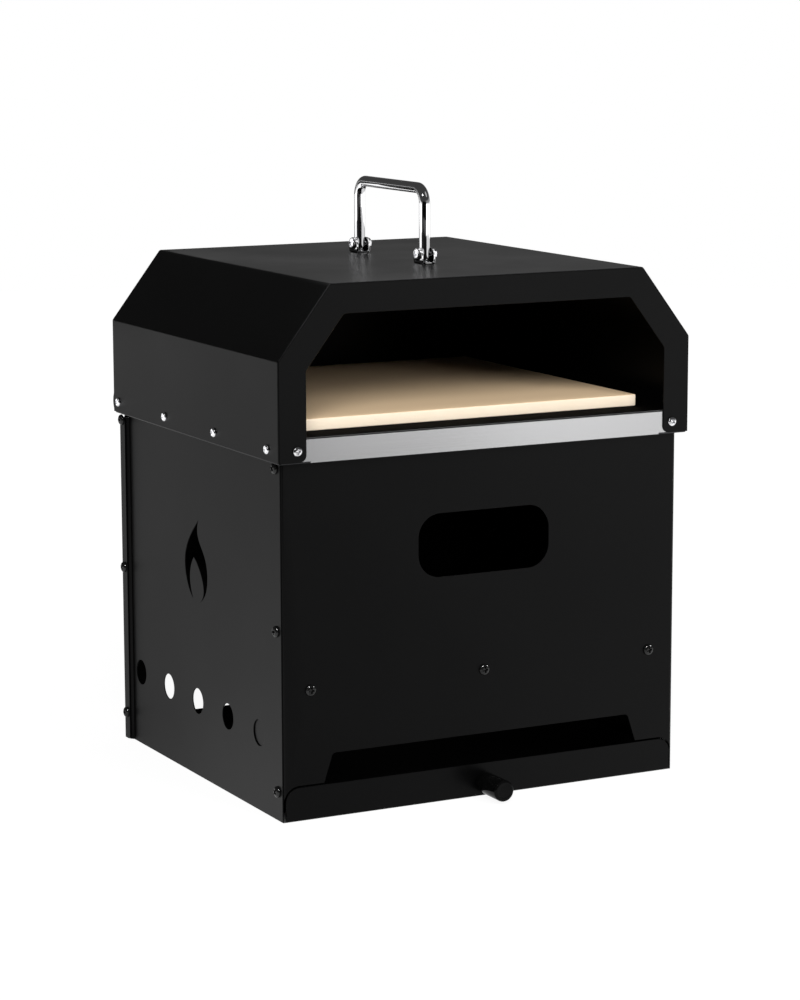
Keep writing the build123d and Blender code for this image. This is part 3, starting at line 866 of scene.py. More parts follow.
@dataclass(frozen=True)
class PowderCoat(Finish):
    """Satin black powder coat, faint orange peel, a painted highlight on noted rims and dull where sooty."""

    slot: Slot = Slot.POWDER_COAT
    colour: Triple = (0.0014, 0.0014, 0.00145)
    second: Triple = (0.0020, 0.0020, 0.00205)
    roughness: tuple[float, float] = (0.30, 0.35)
    specular_level: float = 0.10
    bump: float = 0.35
    bump_depth: float = 0.02
    peel_scale: float = 620.0
    # paler colour painted on the noted rims and the top's front as a highlight
    painted_highlight_colour: Triple = (0.035, 0.035, 0.036)
    soot_roughness: float = 0.97

    def dress(self, sheet: Sheet, shader: bpy.types.Node, place: Socket) -> None:
        """Fine grain for bumps, its broad mask for tone and roughness, the painted highlight and soot."""
        grain = self.pattern(sheet, grain_group(), place, Scale=self.peel_scale)
        whole = self.mixed(sheet, grain.outputs["Mask"], self.colour, self.second)
        # the noted amount mixes in the paler colour: a painted highlight
        painted_highlight = sheet.add("ShaderNodeAttribute", attribute_name="painted_highlight")
        shown = self.mixed(sheet, painted_highlight.outputs["Fac"], whole, self.painted_highlight_colour)
        sheet.link(shown, shader.inputs["Base Color"])
        satin = sheet.between(grain.outputs["Mask"], *self.roughness)
        soot = sheet.add("ShaderNodeAttribute", attribute_name="soot")
        dulled = sheet.between(soot.outputs["Fac"], satin, self.soot_roughness)
        sheet.link(dulled, shader.inputs["Roughness"])
        self.raise_bumps(sheet, shader, grain.outputs["Height"])


@dataclass(frozen=True)
class BrushedSteel(Finish):
    """Bare sheet steel with faint level brushing, black with soot on top and darker on its sides."""

    slot: Slot = Slot.FLOOR_STEEL
    colour: Triple = (0.46, 0.46, 0.465)
    second: Triple = (0.50, 0.50, 0.505)
    roughness: tuple[float, float] = (0.22, 0.27)
    metallic: float = 1.0
    specular_level: float = 0.05
    bump: float = 0.08
    bump_depth: float = 0.01
    soot: Triple = (0.0016, 0.0014, 0.0012)
    soot_roughness: float = 0.95
    soot_start_z: float = 321.5
    soot_full_z: float = 321.75
    # darker colour on the floor's sides and on its lowest edge under the pillars
    darker_edge_colour: Triple = (0.045, 0.045, 0.047)
    side_x: float = 193.5
    pillar_x: float = 166.0
    pillar_z: float = 302.4

    def dress(self, sheet: Sheet, shader: bpy.types.Node, place: Socket) -> None:
        """Streaks for tone, roughness and fine bumps, darker edges, and soot from the floor's top upwards."""
        streaks = self.pattern(sheet, streak_group(), place)
        soot = self.height_mask(sheet, place, self.soot_start_z, self.soot_full_z)
        bare = self.mixed(sheet, streaks.outputs["Mask"], self.colour, self.second)
        edges_darkened = self.mixed(sheet, self.darker_edges(sheet, place), bare, self.darker_edge_colour)
        sheet.link(self.mixed(sheet, soot, edges_darkened, self.soot), shader.inputs["Base Color"])
        polish = sheet.between(streaks.outputs["Mask"], *self.roughness)
        sheet.link(sheet.between(soot, polish, self.soot_roughness), shader.inputs["Roughness"])
        sheet.link(sheet.between(soot, self.metallic, 0.0), shader.inputs["Metallic"])
        self.raise_bumps(sheet, shader, streaks.outputs["Height"])

    def darker_edges(self, sheet: Sheet, place: Socket) -> Socket:
        """1 on the floor's two sides and on its lowest edge under the hood's pillars, and 0 elsewhere."""
        parts = sheet.add("ShaderNodeSeparateXYZ")
        sheet.link(place, parts.inputs["Vector"])
        out = sheet.calculate("ABSOLUTE", parts.outputs["X"])
        side = sheet.calculate("GREATER_THAN", out, self.side_x * MM)
        pillar = sheet.calculate("GREATER_THAN", out, self.pillar_x * MM)
        low = sheet.calculate("LESS_THAN", parts.outputs["Z"], self.pillar_z * MM)
        return sheet.calculate("MAXIMUM", side, sheet.calculate("MULTIPLY", pillar, low))


@dataclass(frozen=True)
class MottledMetal(Finish):
    """Plated or oxidised metal whose tone drifts a little."""

    grain_scale: float = 500.0
    broad_scale: float = 60.0

    def dress(self, sheet: Sheet, shader: bpy.types.Node, place: Socket) -> None:
        """Fine grain for the bumps, its broad mask for tone and roughness."""
        grain = self.pattern(sheet, grain_group(), place, Scale=self.grain_scale,
                             Broad_Scale=self.broad_scale)
        mask = grain.outputs["Mask"]
        sheet.link(self.mixed(sheet, mask, self.colour, self.second), shader.inputs["Base Color"])
        self.vary_roughness(sheet, shader, mask)
        self.raise_bumps(sheet, shader, grain.outputs["Height"])


@dataclass(frozen=True)
class BakingClay(Finish):
    """Fired clay of the stone: pale, dry and porous, and warmer and darker in tone on its top face."""

    slot: Slot = Slot.BAKING_STONE
    colour: Triple = (0.86, 0.72, 0.55)
    second: Triple = (0.94, 0.82, 0.66)
    roughness: tuple[float, float] = (0.82, 0.95)
    specular_level: float = 0.25
    bump: float = 0.5
    bump_depth: float = 0.15
    # colour of the top face, warmer and darker than the sides
    top_face_colour: Triple = (0.93, 0.69, 0.44)
    top_face_start_z: float = 331.6
    top_face_full_z: float = 332.28

    def dress(self, sheet: Sheet, shader: bpy.types.Node, place: Socket) -> None:
        """Cloudy tone, a warmer top face, darker pores, and grain with pits for the bumps."""
        clay = self.pattern(sheet, speckle_group(), place)
        pale = self.mixed(sheet, clay.outputs["Cloud"], self.colour, self.second)
        top = self.height_mask(sheet, place, self.top_face_start_z, self.top_face_full_z)
        sheet.link(self.mixed(sheet, top, pale, self.top_face_colour), shader.inputs["Base Color"])
        self.vary_roughness(sheet, shader, clay.outputs["Pores"])
        self.raise_bumps(sheet, shader, clay.outputs["Height"])


POWDER_COAT = PowderCoat()
FLOOR_STEEL = BrushedSteel()
BAKING_STONE = BakingClay()
HANDLE_CHROME = MottledMetal(
    Slot.HANDLE_CHROME, (0.78, 0.78, 0.79), (0.82, 0.82, 0.83), (0.05, 0.08), metallic=1.0, bump=0.05,
    bump_depth=0.01, grain_scale=300.0, broad_scale=30.0)
BRIGHT_ZINC = MottledMetal(
    Slot.BRIGHT_ZINC, (0.86, 0.86, 0.88), (0.93, 0.93, 0.95), (0.16, 0.24), metallic=1.0, bump_depth=0.01,
    grain_scale=900.0, broad_scale=300.0)
BLACK_SCREW = MottledMetal(
    Slot.BLACK_SCREW, (0.004, 0.004, 0.004), (0.006, 0.006, 0.006), (0.12, 0.16), specular_level=0.40,
    bump_depth=0.01, grain_scale=900.0, broad_scale=300.0)
GRATE_WIRE = MottledMetal(
    Slot.GRATE_WIRE, (0.48, 0.48, 0.49), (0.60, 0.60, 0.61), (0.20, 0.30), metallic=1.0, bump_depth=0.02,
    grain_scale=700.0, broad_scale=80.0)
KNOB_PLASTIC = MottledMetal(
    Slot.KNOB_PLASTIC, (0.002, 0.002, 0.002), (0.003, 0.003, 0.003), (0.07, 0.10), specular_level=0.08,
    bump_depth=0.01, broad_scale=80.0)


# Sub-assemblies


@dataclass
class HoodSection:
    """The hood's cross-section, shared by its shell, front frame and back panel."""

    width: float = 390.0
    bottom_z: float = 302.0
    side_height: float = 83.0
    slope_height: float = 61.0
    slope_width: float = 47.0
    bend_radius: float = 3.0

    @property
    def half(self) -> float:
        """Half of the hood's width."""
        return self.width / 2

    def corners(self, inset: float, bottom: float) -> np.ndarray:
        """Corners in X and Z of the section moved in by an inset, from the left foot over the top.

        Args:
            inset: how far the section is moved in.
            bottom: height of its feet.

        Returns:
            The six corners, from left to right.
        """
        slope = math.hypot(self.slope_height, self.slope_width)
        side = self.half - inset
        shoulder = self.bottom_z + self.side_height - inset * (slope - self.slope_height) / self.slope_width
        crown = self.half - self.slope_width - inset * (slope - self.slope_width) / self.slope_height
        top = self.bottom_z + self.side_height + self.slope_height - inset
        left = [(-side, bottom), (-side, shoulder), (-crown, top)]
        return np.array(left + [(-x, z) for x, z in reversed(left)])

    def line(self, inset: float, bottom: float, radius: float, steps: int = 8) -> np.ndarray:
        """Section line with round bends."""
        return rounded_path(self.corners(inset, bottom), radius, steps)


@dataclass
class Hood:
    """The oven's hood: a bent shell, a flat front frame round the mouth and a back wall."""

    section: HoodSection = field(default_factory=HoodSection)
    sheet: float = 1.0
    front_y: float = -163.05
    back_y: float = 186.95
    seam_gap: float = 0.5
    mouth_band: float = 25.0
    mouth_radius: float = 4.0
    foot_radius: float = 6.0
    return_length: float = 14.0
    return_bottom_z: float = 325.0
    ear_radius: float = 13.5
    ear_inset: float = 11.5
    ear_z: float = 311.5
    rim_radius: float = 0.9
    rim_approach: float = 0.4
    mouth_edge: float = 0.3
    face_shares: tuple[float, ...] = (0.35, 0.7)
    flat_reach: float = 2.0
    foot_rows: int = 16
    rim_foot_rows: int = 8
    rim_steps: int = 6
    return_rows: int = 3
    least_bend: float = 0.5
    back_columns: int = 13
    depth_shares: tuple[float, ...] = (0, 0.015, 0.04, 0.08, 0.14, 0.22, 0.35, 0.5, 0.65, 0.8, 0.9, 0.97, 1)
    weld_lap: float = 0.2
    back_lap_share: float = 0.7
    soft_edge: float = 0.35
    # how strongly a highlight is painted on the rim and on the front of the top
    rim_painted_highlight: float = 1.0
    rim_rise: float = 6.0
    rim_reach: float = 3.0
    top_painted_highlight: float = 0.35
    top_reach: float = 2.0
    painted_highlight_depth: float = 30.0
    middle: Triple = (0.0, 12.0, 330.0)

    def shell(self) -> Surface:
        """Sheet bent over the top and both sides.

        A row follows the section line. A column runs from the front edge to the rear edge, which bulges out
        to the ear's circle low on both sides.
        """
        line = self.section.line(0, self.section.bottom_z, self.section.bend_radius)
        low = np.linspace(self.section.bottom_z, self.ear_z + self.ear_radius, self.foot_rows)
        left = spread(-self.section.half, low)
        right = left[::-1] * [-1, 1]
        line = held_flat(np.concatenate([left, line[1:-1], right]), self.flat_reach)
        rise = line[:, 1] - self.ear_z
        on_side = np.abs(np.abs(line[:, 0]) - self.section.half) < 1e-6
        bulge = np.sqrt(np.maximum(self.ear_radius ** 2 - rise ** 2, 0)) - self.ear_inset
        rear = self.back_y + np.where(on_side, np.maximum(bulge, 0), 0)
        start = self.front_y + self.sheet + self.seam_gap
        y = start + np.array(self.depth_shares)[None, :] * (rear - start)[:, None]
        return outward(sheet_grid(spread(line[:, :1], y, line[:, 1:])), self.middle)

    def returns(self, start_y: float, end_y: float) -> Surface:
        """Flange inside the shell between two depths: the section line moved in by one sheet."""
        line = self.section.line(self.sheet, self.return_bottom_z, self.section.bend_radius - self.sheet)
        points = spread(line[:, :1], np.linspace(start_y, end_y, self.return_rows), line[:, 1:])
        return outward(sheet_grid(points), self.middle)

    def closed_returns(self, start_y: float, end_y: float) -> Surface:
        """The same flange with its thickness: a four-point loop carried along the section line.

        Args:
            start_y: front of the flange.
            end_y: its rear.

        Returns:
            The closed flange.
        """
        bend = self.section.bend_radius
        outer = self.section.line(self.sheet, self.return_bottom_z, bend - self.sheet)
        tight = max(bend - 2 * self.sheet, self.least_bend)
        inner = self.section.line(2 * self.sheet, self.return_bottom_z, tight)
        loop = [(outer, start_y), (outer, end_y), (inner, end_y), (inner, start_y)]
        return outward(loop_between(loop), self.middle)

    def mouth_line(self) -> np.ndarray:
        """Edge of the mouth in X and Z, which turns outwards round each pillar's foot."""
        inner = self.section.corners(self.mouth_band, self.section.bottom_z)
        foot = inner[0] - [self.foot_radius * 2, 0]
        corners = np.concatenate([[foot], inner, [foot * [-1, 1]]])
        radii = np.array([0, self.foot_radius] + [self.mouth_radius] * 4 + [self.foot_radius, 0])
        return held_flat(rounded_path(corners, radii)[1:-1])

    def rim_line(self, inset: float) -> np.ndarray:
        """Outer edge in X and Z moved in by an inset, with as many points as the mouth's edge.

        Args:
            inset: how far it is moved in.

        Returns:
            Its points in X and Z.
        """
        bottom = self.section.bottom_z
        outer = self.section.line(inset, bottom, self.section.bend_radius - inset)
        rise = np.linspace(bottom, bottom + self.foot_radius, self.rim_foot_rows)
        left = spread(inset - self.section.half, rise)
        return held_flat(np.concatenate([left, outer[1:-1], left[::-1] * [-1, 1]]))

    def front_plate(self) -> Surface:
        """Flat plate between the outer edge and the mouth, as a loop carried along both edges.

        The loop goes over the front face from the mouth outwards, round the rim on a quarter circle, back
        over the rear face and round the mouth's edge. A point of a face is the straight mix of a pair of
        points on the two edges.
        """
        mouth, rim, front = self.mouth_line(), self.rim_radius, self.front_y
        soft = self.mouth_edge / self.mouth_band
        loop = []
        for share in (soft, *self.face_shares):
            loop.append((mouth * (1 - share) + self.rim_line(rim) * share, front))
        loop.append((self.rim_line(rim + self.rim_approach), front))
        for inset, depth in zip(*quarter(rim, self.rim_steps)):
            loop.append((self.rim_line(inset), front + depth))
        loop.append((self.rim_line(0), front + self.sheet))
        loop.append((mouth * (1 - soft) + self.rim_line(0) * soft, front + self.sheet))
        loop.append((mouth, front + self.sheet - self.mouth_edge))
        loop.append((mouth, front + self.mouth_edge))
        return outward(loop_between(loop), (0.0, front + self.sheet / 2, self.middle[2]))

    def back_face(self) -> Surface:
        """Back wall: at every height of the section line, points spread evenly from left to right."""
        line = self.section.line(self.sheet, self.section.bottom_z, self.section.bend_radius - self.sheet)
        half = line[: len(line) // 2]
        x = -half[:, :1] * np.linspace(-1, 1, self.back_columns)[None, :]
        return outward(sheet_grid(spread(x, self.back_y, half[:, 1:])), self.middle)

    def build(self) -> None:
        """Builds and dresses the three pieces."""
        start = self.front_y + self.sheet
        end = self.back_y - self.sheet
        folds = self.closed_returns(start - self.weld_lap, start + self.return_length)
        frame = joined([self.front_plate(), folds])
        folds = self.returns(end - self.return_length, self.back_y - self.sheet * self.back_lap_share)
        wall = joined([self.back_face(), folds])
        plate = new_piece("hood_front_sheet", frame, POWDER_COAT, Body.OVEN, ("hood_front_frame",))
        shell = new_piece("hood_shell_sheet", self.shell(), POWDER_COAT, Body.OVEN, ("hood_shell",))
        back = new_piece("hood_back_sheet", wall, POWDER_COAT, Body.OVEN, ("hood_back_panel",))
        self.note_painted_highlight(plate, shell)
        for piece in (shell, back):
            add_thickness(piece, self.sheet)
            add_soft_edges(piece, self.soft_edge)

    def note_painted_highlight(self, plate: bpy.types.Object, shell: bpy.types.Object) -> None:
        """Notes where a highlight is painted on the hood as a paler colour.

        On the front plate it is the rim above the shoulders, and it grows with the distance behind the front
        face over the rim's radius. On the shell it is the front of the top, and it falls off exponentially
        with the distance from the front edge.

        Args:
            plate: the front frame's piece.
            shell: the shell's piece.
        """
        section = self.section
        shoulder = section.bottom_z + section.side_height
        crown = shoulder + section.slope_height
        points = points_mm(plate)
        over = points[:, 2] - shoulder
        high = np.clip(over / self.rim_rise, 0, 1)
        off_face = np.clip((points[:, 1] - self.front_y) / self.rim_radius, 0, 1)
        outline = section.half - np.maximum(over, 0) * section.slope_width / section.slope_height
        beside = np.abs(points[:, 0]) > outline - self.rim_reach
        at_rim = beside | (points[:, 2] > crown - self.top_reach)
        # painted highlight on the front plate's rim
        mark_points(plate, "painted_highlight", high * off_face * at_rim * self.rim_painted_highlight)
        # painted highlight on the front of the shell's top, fading backwards
        points = points_mm(shell)
        away = points[:, 1] - self.front_y
        on_top = np.clip((points[:, 2] - crown + self.rim_reach) / self.top_reach, 0, 1)
        mark_points(shell, "painted_highlight", on_top * self.top_painted_highlight * np.exp(-away / self.painted_highlight_depth))


@dataclass
class OvenFloor:
    """Folded steel frame under the hood, with the heat opening in its floor."""

    half_x: float = 194.0
    front_y: float = -162.05
    back_y: float = 185.95
    bottom_z: float = 301.0
    top_z: float = 322.0
    stone_lap: float = 12.0
    hole_radius: float = 1.0
    bend_radius: float = 1.6
    flat_reach: float = 0.5
    sheet: float = 1.0
    soft_edge: float = 0.3

    def surface(self) -> Surface:
        """Rings from the heat opening outwards over the floor, round the bend and down the flange.

        Each ring is a rounded rectangle. On the bend its inset and drop follow a quarter circle, and a ring
        close beside it on either side keeps smooth shading flat on the floor and the flange.
        """
        stone_low, stone_high = box_mm("pizza_stone")
        hole = inset_rings(stone_low, stone_high, self.hole_radius, [self.stone_lap], [self.top_z])
        inset, drop = quarter(self.bend_radius)
        beside = self.bend_radius + self.flat_reach
        flange = self.top_z - self.bottom_z
        insets = np.concatenate([[beside], inset, [0, 0, 0]])
        drops = np.concatenate([[0], drop, [beside, flange - self.flat_reach, flange]])
        low = np.array([-self.half_x, self.front_y])
        high = np.array([self.half_x, self.back_y])
        folded = inset_rings(low, high, self.bend_radius, insets, self.top_z - drops)
        rings = np.concatenate([hole, folded])
        return outward(sheet_grid(rings, wrap_columns=True), (0, (low[1] + high[1]) / 2, self.bottom_z))

    def build(self) -> None:
        """Builds and dresses the frame."""
        piece = new_piece("oven_floor_sheet", self.surface(), FLOOR_STEEL, Body.OVEN, ("oven_floor_frame",))
        add_thickness(piece, self.sheet)
        add_soft_edges(piece, self.soft_edge)


@dataclass
class Handle:
    """Chromed rod bent into a handle, on two clevis feet."""

    rod: float = 9.5
    front_y: float = -46.05
    rear_y: float = 77.95
    foot_z: float = 446.0
    rod_low_z: float = 449.3
    rod_high_z: float = 510.25
    bend_radius: float = 13.0
    bend_steps: int = 16
    rod_columns: int = 40
    end_radius: float = 1.0
    clevis_width: float = 13.5
    clevis_depth: float = 15.0
    clevis_height: float = 13.5
    clevis_sheet: float = 1.8
    clevis_bend: float = 1.6
    clevis_bend_steps: int = 6
    clevis_columns: int = 7
    clevis_edge: float = 0.4
    clevis_edge_segments: int = 3
    crown_radius: float = 6.0
    crown_rows: int = 7
    rivet: float = 5.0
    rivet_head: float = 8.5
    rivet_head_height: float = 1.2
    rivet_head_steps: int = 6
    rivet_columns: int = 32
    rivet_tail_share: float = 0.7
    rivet_end_share: float = 0.8
    hood_sheet: float = 1.0

    def rod_surface(self) -> Surface:
        """Circle carried along the bent centre line."""
        corners = [(0, self.front_y, self.rod_low_z), (0, self.front_y, self.rod_high_z),
                   (0, self.rear_y, self.rod_high_z), (0, self.rear_y, self.rod_low_z)]
        path = rounded_path(np.array(corners, float), self.bend_radius, self.bend_steps)
        return rod_along(path, self.rod / 2, (1, 0, 0), self.rod_columns, self.end_radius)

    def clevis_surface(self, foot_y: float) -> Surface:
        """Strip bent into a U: down one cheek, along the base and up the other.

        A row's height on its cheek sets the strip's half width there: full below the crown, and following
        the crown's round corners above.

        Args:
            foot_y: the foot's place along Y.

        Returns:
            The strip's upper side.
        """
        half = self.clevis_width / 2
        corners = np.array([(-half, self.clevis_height), (-half, 0), (half, 0), (half, self.clevis_height)])
        line = rounded_path(corners, self.clevis_bend, self.clevis_bend_steps)
        crown = self.clevis_height - self.crown_radius
        _, drop = quarter(self.crown_radius, self.crown_rows + 1)
        left = spread(-half, self.clevis_height - drop[:-1])
        line = np.concatenate([left, [(-half, crown)], line[1:-1], [(half, crown)], left[::-1] * [-1, 1]])
        over = np.clip((line[:, 1] - crown) / self.crown_radius, 0, 1)
        wide = self.clevis_depth / 2 - self.crown_radius * (1 - np.sqrt(1 - over ** 2))
        y = foot_y + wide[:, None] * np.linspace(-1, 1, self.clevis_columns)[None, :]
        strip = sheet_grid(spread(line[:, :1], y, line[:, 1:] + self.foot_z))
        return outward(strip, (0, foot_y, self.foot_z + self.clevis_height))

    def rivet_surface(self, foot_y: float) -> Surface:
        """Turned rivet: a domed head on the clevis base, a shank through the hood and a flat tail below.

        Args:
            foot_y: the foot's place along Y.

        Returns:
            The closed rivet.
        """
        head, rise = self.rivet_head / 2, self.rivet_head_height
        turn = np.linspace(math.pi / 2, 0, self.rivet_head_steps)
        dome = spread(head * np.cos(turn), rise * np.sin(turn))
        shank = self.rivet / 2
        grip = self.clevis_sheet + self.hood_sheet
        lower = [(shank, 0.0), (shank, -grip), (head, -grip), (head, -grip - rise * self.rivet_tail_share),
                 (head * self.rivet_end_share, -grip - rise)]
        body = turned(np.concatenate([dome[1:], lower]), self.rivet_columns)
        return Surface(body.points + [0, foot_y, self.foot_z + self.clevis_sheet], body.faces)

    def build(self) -> None:
        """Builds and dresses the rod, the feet and the rivets."""
        mirrored = LitSet.POLISHED_HANDLE.pieces()
        rod = new_piece("handle_bent_rod", self.rod_surface(), HANDLE_CHROME, Body.OVEN, ("handle_rod",))
        mirrored.objects.link(rod)
        for side, y in (("front", self.front_y), ("rear", self.rear_y)):
            piece = new_piece(f"handle_foot_{side}", self.clevis_surface(y), HANDLE_CHROME, Body.OVEN,
                              (f"handle_clevis_{side}",))
            add_thickness(piece, self.clevis_sheet)
            add_soft_edges(piece, self.clevis_edge, self.clevis_edge_segments)
            mirrored.objects.link(piece)
        rivets = joined([self.rivet_surface(y) for y in (self.front_y, self.rear_y)])
        rivets = new_piece("handle_foot_rivets", rivets, BRIGHT_ZINC, Body.OVEN, ("handle_rivets",))
        mirrored.objects.link(rivets)


@dataclass
class CharcoalGrate:
    """The charcoal grate: seventeen bars welded on four cross wires."""

    bar: float = 4.0
    rail: float = 5.0
    bar_count: int = 17
    rail_count: int = 4
    rail_margin: float = 25.8
    weld_depth: float = 0.4
    end_radius: float = 0.8
    wire_rows: int = 4
    wire_columns: int = 12

    def wire(self, start: Triple, end: Triple, thickness: float, across: Triple) -> Surface:
        """Straight wire between two points."""
        path = np.linspace(start, end, self.wire_rows)
        return rod_along(path, thickness / 2, across, self.wire_columns, self.end_radius)

    def build(self) -> None:
        """Builds the grate as one piece."""
        low, high = box_mm("charcoal_grate")
        top = high[2] - self.bar / 2
        level = high[2] - self.bar + self.weld_depth - self.rail / 2
        rods = []
        for x in np.linspace(low[0] + self.bar / 2, high[0] - self.bar / 2, self.bar_count):
            rods.append(self.wire((x, low[1], top), (x, high[1], top), self.bar, (1, 0, 0)))
        for y in np.linspace(low[1] + self.rail_margin, high[1] - self.rail_margin, self.rail_count):
            rods.append(self.wire((low[0], y, level), (high[0], y, level), self.rail, (0, 1, 0)))
        new_piece("charcoal_grate_wires", joined(rods), GRATE_WIRE, Body.COAL_GRATE, ("charcoal_grate",))


@dataclass
class PizzaStone:
    """Flat baking stone with soft, slightly uneven edges."""

    corner_radius: float = 2.0
    corner_steps: int = 6
    edge_radius: float = 1.0
    face_insets: tuple[float, ...] = (120.0, 60.0, 20.0)
    side_parts: int = 8
    wobble: float = 0.10
    long_wave: tuple[float, float] = (0.31, 0.23)
    long_phase: tuple[float, float] = (1.7, 0.4)
    short_wave: Triple = (0.83, 0.61, 1.9)

    def surface(self) -> Surface:
        """Rings over the stone: out along its underside, round both edges and in again along its top.

        Each ring is a rounded rectangle. Round an edge its inset and height follow a quarter circle, and a
        sum of sines along the rim moves the edge rings in by a hair.
        """
        low, high = box_mm("pizza_stone")
        inset, rise = quarter(self.edge_radius)
        lower_insets = np.concatenate([self.face_insets, inset])
        rises = np.concatenate([np.zeros(len(self.face_insets)), rise])
        insets = np.concatenate([lower_insets, lower_insets[::-1]])
        heights = np.concatenate([low[2] + rises, high[2] - rises[::-1]])
        rings = inset_rings(low, high, self.corner_radius, insets, heights, self.corner_steps)
        rings = self.split_sides(rings)
        middle = (low + high) / 2
        way = rings[..., :2] - middle[:2]
        shift = self.wobble * self.unevenness(rings)
        close = (np.abs(insets) < 2 * self.edge_radius)[:, None]
        share = np.where(close, shift, 0) / np.maximum(np.abs(way).max(axis=-1), 1.0)
        rings[..., :2] -= way * share[..., None]
        return outward(closed_rings(rings), tuple(middle))

    def split_sides(self, rings: np.ndarray) -> np.ndarray:
        """The rings with more points on their straight sides: even shares between neighbouring points."""
        share = np.linspace(0, 1, self.side_parts, endpoint=False)[None, None, :, None]
        ahead = np.roll(rings, -1, axis=1)
        fine = rings[:, :, None] * (1 - share) + ahead[:, :, None] * share
        return fine.reshape(rings.shape[0], -1, 3)

    def unevenness(self, rings: np.ndarray) -> np.ndarray:
        """Between 0 and 1 over the surface: a sum of sine waves.

        It is a long wave along X times one along Y, plus half of a short one along X, Y and Z.
        """
        long = np.sin(np.array(self.long_wave) * rings[..., :2] + self.long_phase).prod(axis=-1)
        short = np.sin(rings @ np.array(self.short_wave))
        return np.clip(0.5 + (long + short / 2) / 3, 0, 1)

    def build(self) -> None:
        """Builds and dresses the stone."""
        new_piece("pizza_stone_block", self.surface(), BAKING_STONE, Body.STONE, ("pizza_stone",))


@dataclass
class Firebox:
    """The firebox's bolted panels and the angles inside it."""

    edge: float = 0.3
    panels: tuple[str, ...] = ("firebox_front_panel", "firebox_back_panel", "firebox_left_panel",
                               "firebox_right_panel")
    angles: tuple[str, ...] = ("grate_support_front", "grate_support_back", "tray_guide_left",
                               "tray_guide_right")

    def build(self) -> None:
        """Rounds and dresses every panel and angle."""
        for node in self.panels + self.angles:
            rounded_panel(node, POWDER_COAT, Body.FIREBOX, self.edge)


@dataclass
class AshTray:
    """The slide-out ash tray: pan, front plate and knob."""

    sheet: float = 1.0
    pan_bend: float = 1.6
    front_radius: float = 12.0
    front_corner_steps: int = 9
    front_middle_steps: int = 9
    front_rows: int = 4
    knob_z: float = 12.0
    knob: float = 18.5
    knob_length: float = 36.5
    neck: float = 13.0
    neck_middle: float = 0.5
    neck_length: float = 4.0
    knob_edge: float = 2.0
    knob_edge_steps: int = 7
    knob_columns: int = 64
    dish_shares: tuple[float, ...] = (0.72, 0.66, 0.58, 0.4, 0.2, 0.03)
    dish_slope_share: float = 0.14
    dish_depth: float = 0.35
    pan_insets: tuple[float, ...] = (150.0, 100.0, 50.0, 12.0)
    soft_edge: float = 0.3

    def pan_surface(self) -> Surface:
        """Rings from the middle of the floor outwards, round the bend and up the wall."""
        low, _ = box_mm("ash_pan_floor")
        _, high = box_mm("ash_pan_rim")
        inset, rise = quarter(self.pan_bend)
        insets = np.concatenate([self.pan_insets, inset, [0]])
        heights = np.concatenate([np.full(len(self.pan_insets), low[2]), low[2] + rise, [high[2]]])
        rings = inset_rings(low, high, self.pan_bend, insets, heights)
        return outward(closed_rings(rings, close_last=False), (0, (low[1] + high[1]) / 2, high[2]))

    def front_surface(self) -> Surface:
        """Front plate: columns across, rows from its foot up to an edge that is level between round corners.

        The plate faces away from the pan's middle.
        """
        low, high = box_mm("ash_tray_front")
        flat = high[0] - self.front_radius
        inset, drop = quarter(self.front_radius, self.front_corner_steps)
        middle = np.linspace(-flat, flat, self.front_middle_steps)[1:-1]
        x = np.concatenate([inset[::-1] - high[0], middle, high[0] - inset])
        top = high[2] - np.concatenate([drop[::-1], np.zeros(len(middle)), drop])
        z = low[2] + np.linspace(0, 1, self.front_rows)[:, None] * (top - low[2])[None, :]
        pan_low, pan_high = box_mm("ash_pan_floor")
        behind = (0, (pan_low[1] + pan_high[1]) / 2, (low[2] + high[2]) / 2)
        return outward(sheet_grid(spread(x, low[1], z)), behind)

    def knob_surface(self) -> Surface:
        """Turned knob: neck, shoulder, grip, a round rim and a shallow dish in the end."""
        _, high = box_mm("ash_tray_knob")
        big, small = self.knob / 2, self.neck / 2
        inset, rise = quarter(self.knob_edge / 2, self.knob_edge_steps)
        shoulder = spread(big - inset, self.neck_length + rise)
        drop, inset = quarter(self.knob_edge, self.knob_edge_steps)
        rim = spread(big - inset, self.knob_length - drop)
        shares = np.array(self.dish_shares)
        dish = self.dish_depth * np.clip((shares[0] - shares) / self.dish_slope_share, 0, 1)
        face = spread(shares * big, self.knob_length - dish)
        foot = np.array([(self.neck_middle, 0.0), (small, 0.0), (small, self.neck_length)])
        body = turned(np.concatenate([foot, shoulder, rim, face]), self.knob_columns)
        return facing(body, np.array([0, -1, 0]), np.array([0, high[1], self.knob_z]))

    def build(self) -> None:
        """Builds and dresses the pan, the front plate and the knob."""
        pan = new_piece("ash_pan_sheet", self.pan_surface(), POWDER_COAT, Body.ASH_TRAY,
                        ("ash_pan_floor", "ash_pan_rim"))
        plate = new_piece("ash_tray_plate", self.front_surface(), POWDER_COAT, Body.ASH_TRAY,
                          ("ash_tray_front",))
        mark_points(pan, "soot", np.ones(len(pan.data.vertices)))
        for piece in (pan, plate):
            add_thickness(piece, self.sheet)
            add_soft_edges(piece, self.soft_edge)
        new_piece("ash_tray_turned_knob", self.knob_surface(), KNOB_PLASTIC, Body.ASH_TRAY,
                  ("ash_tray_knob",))


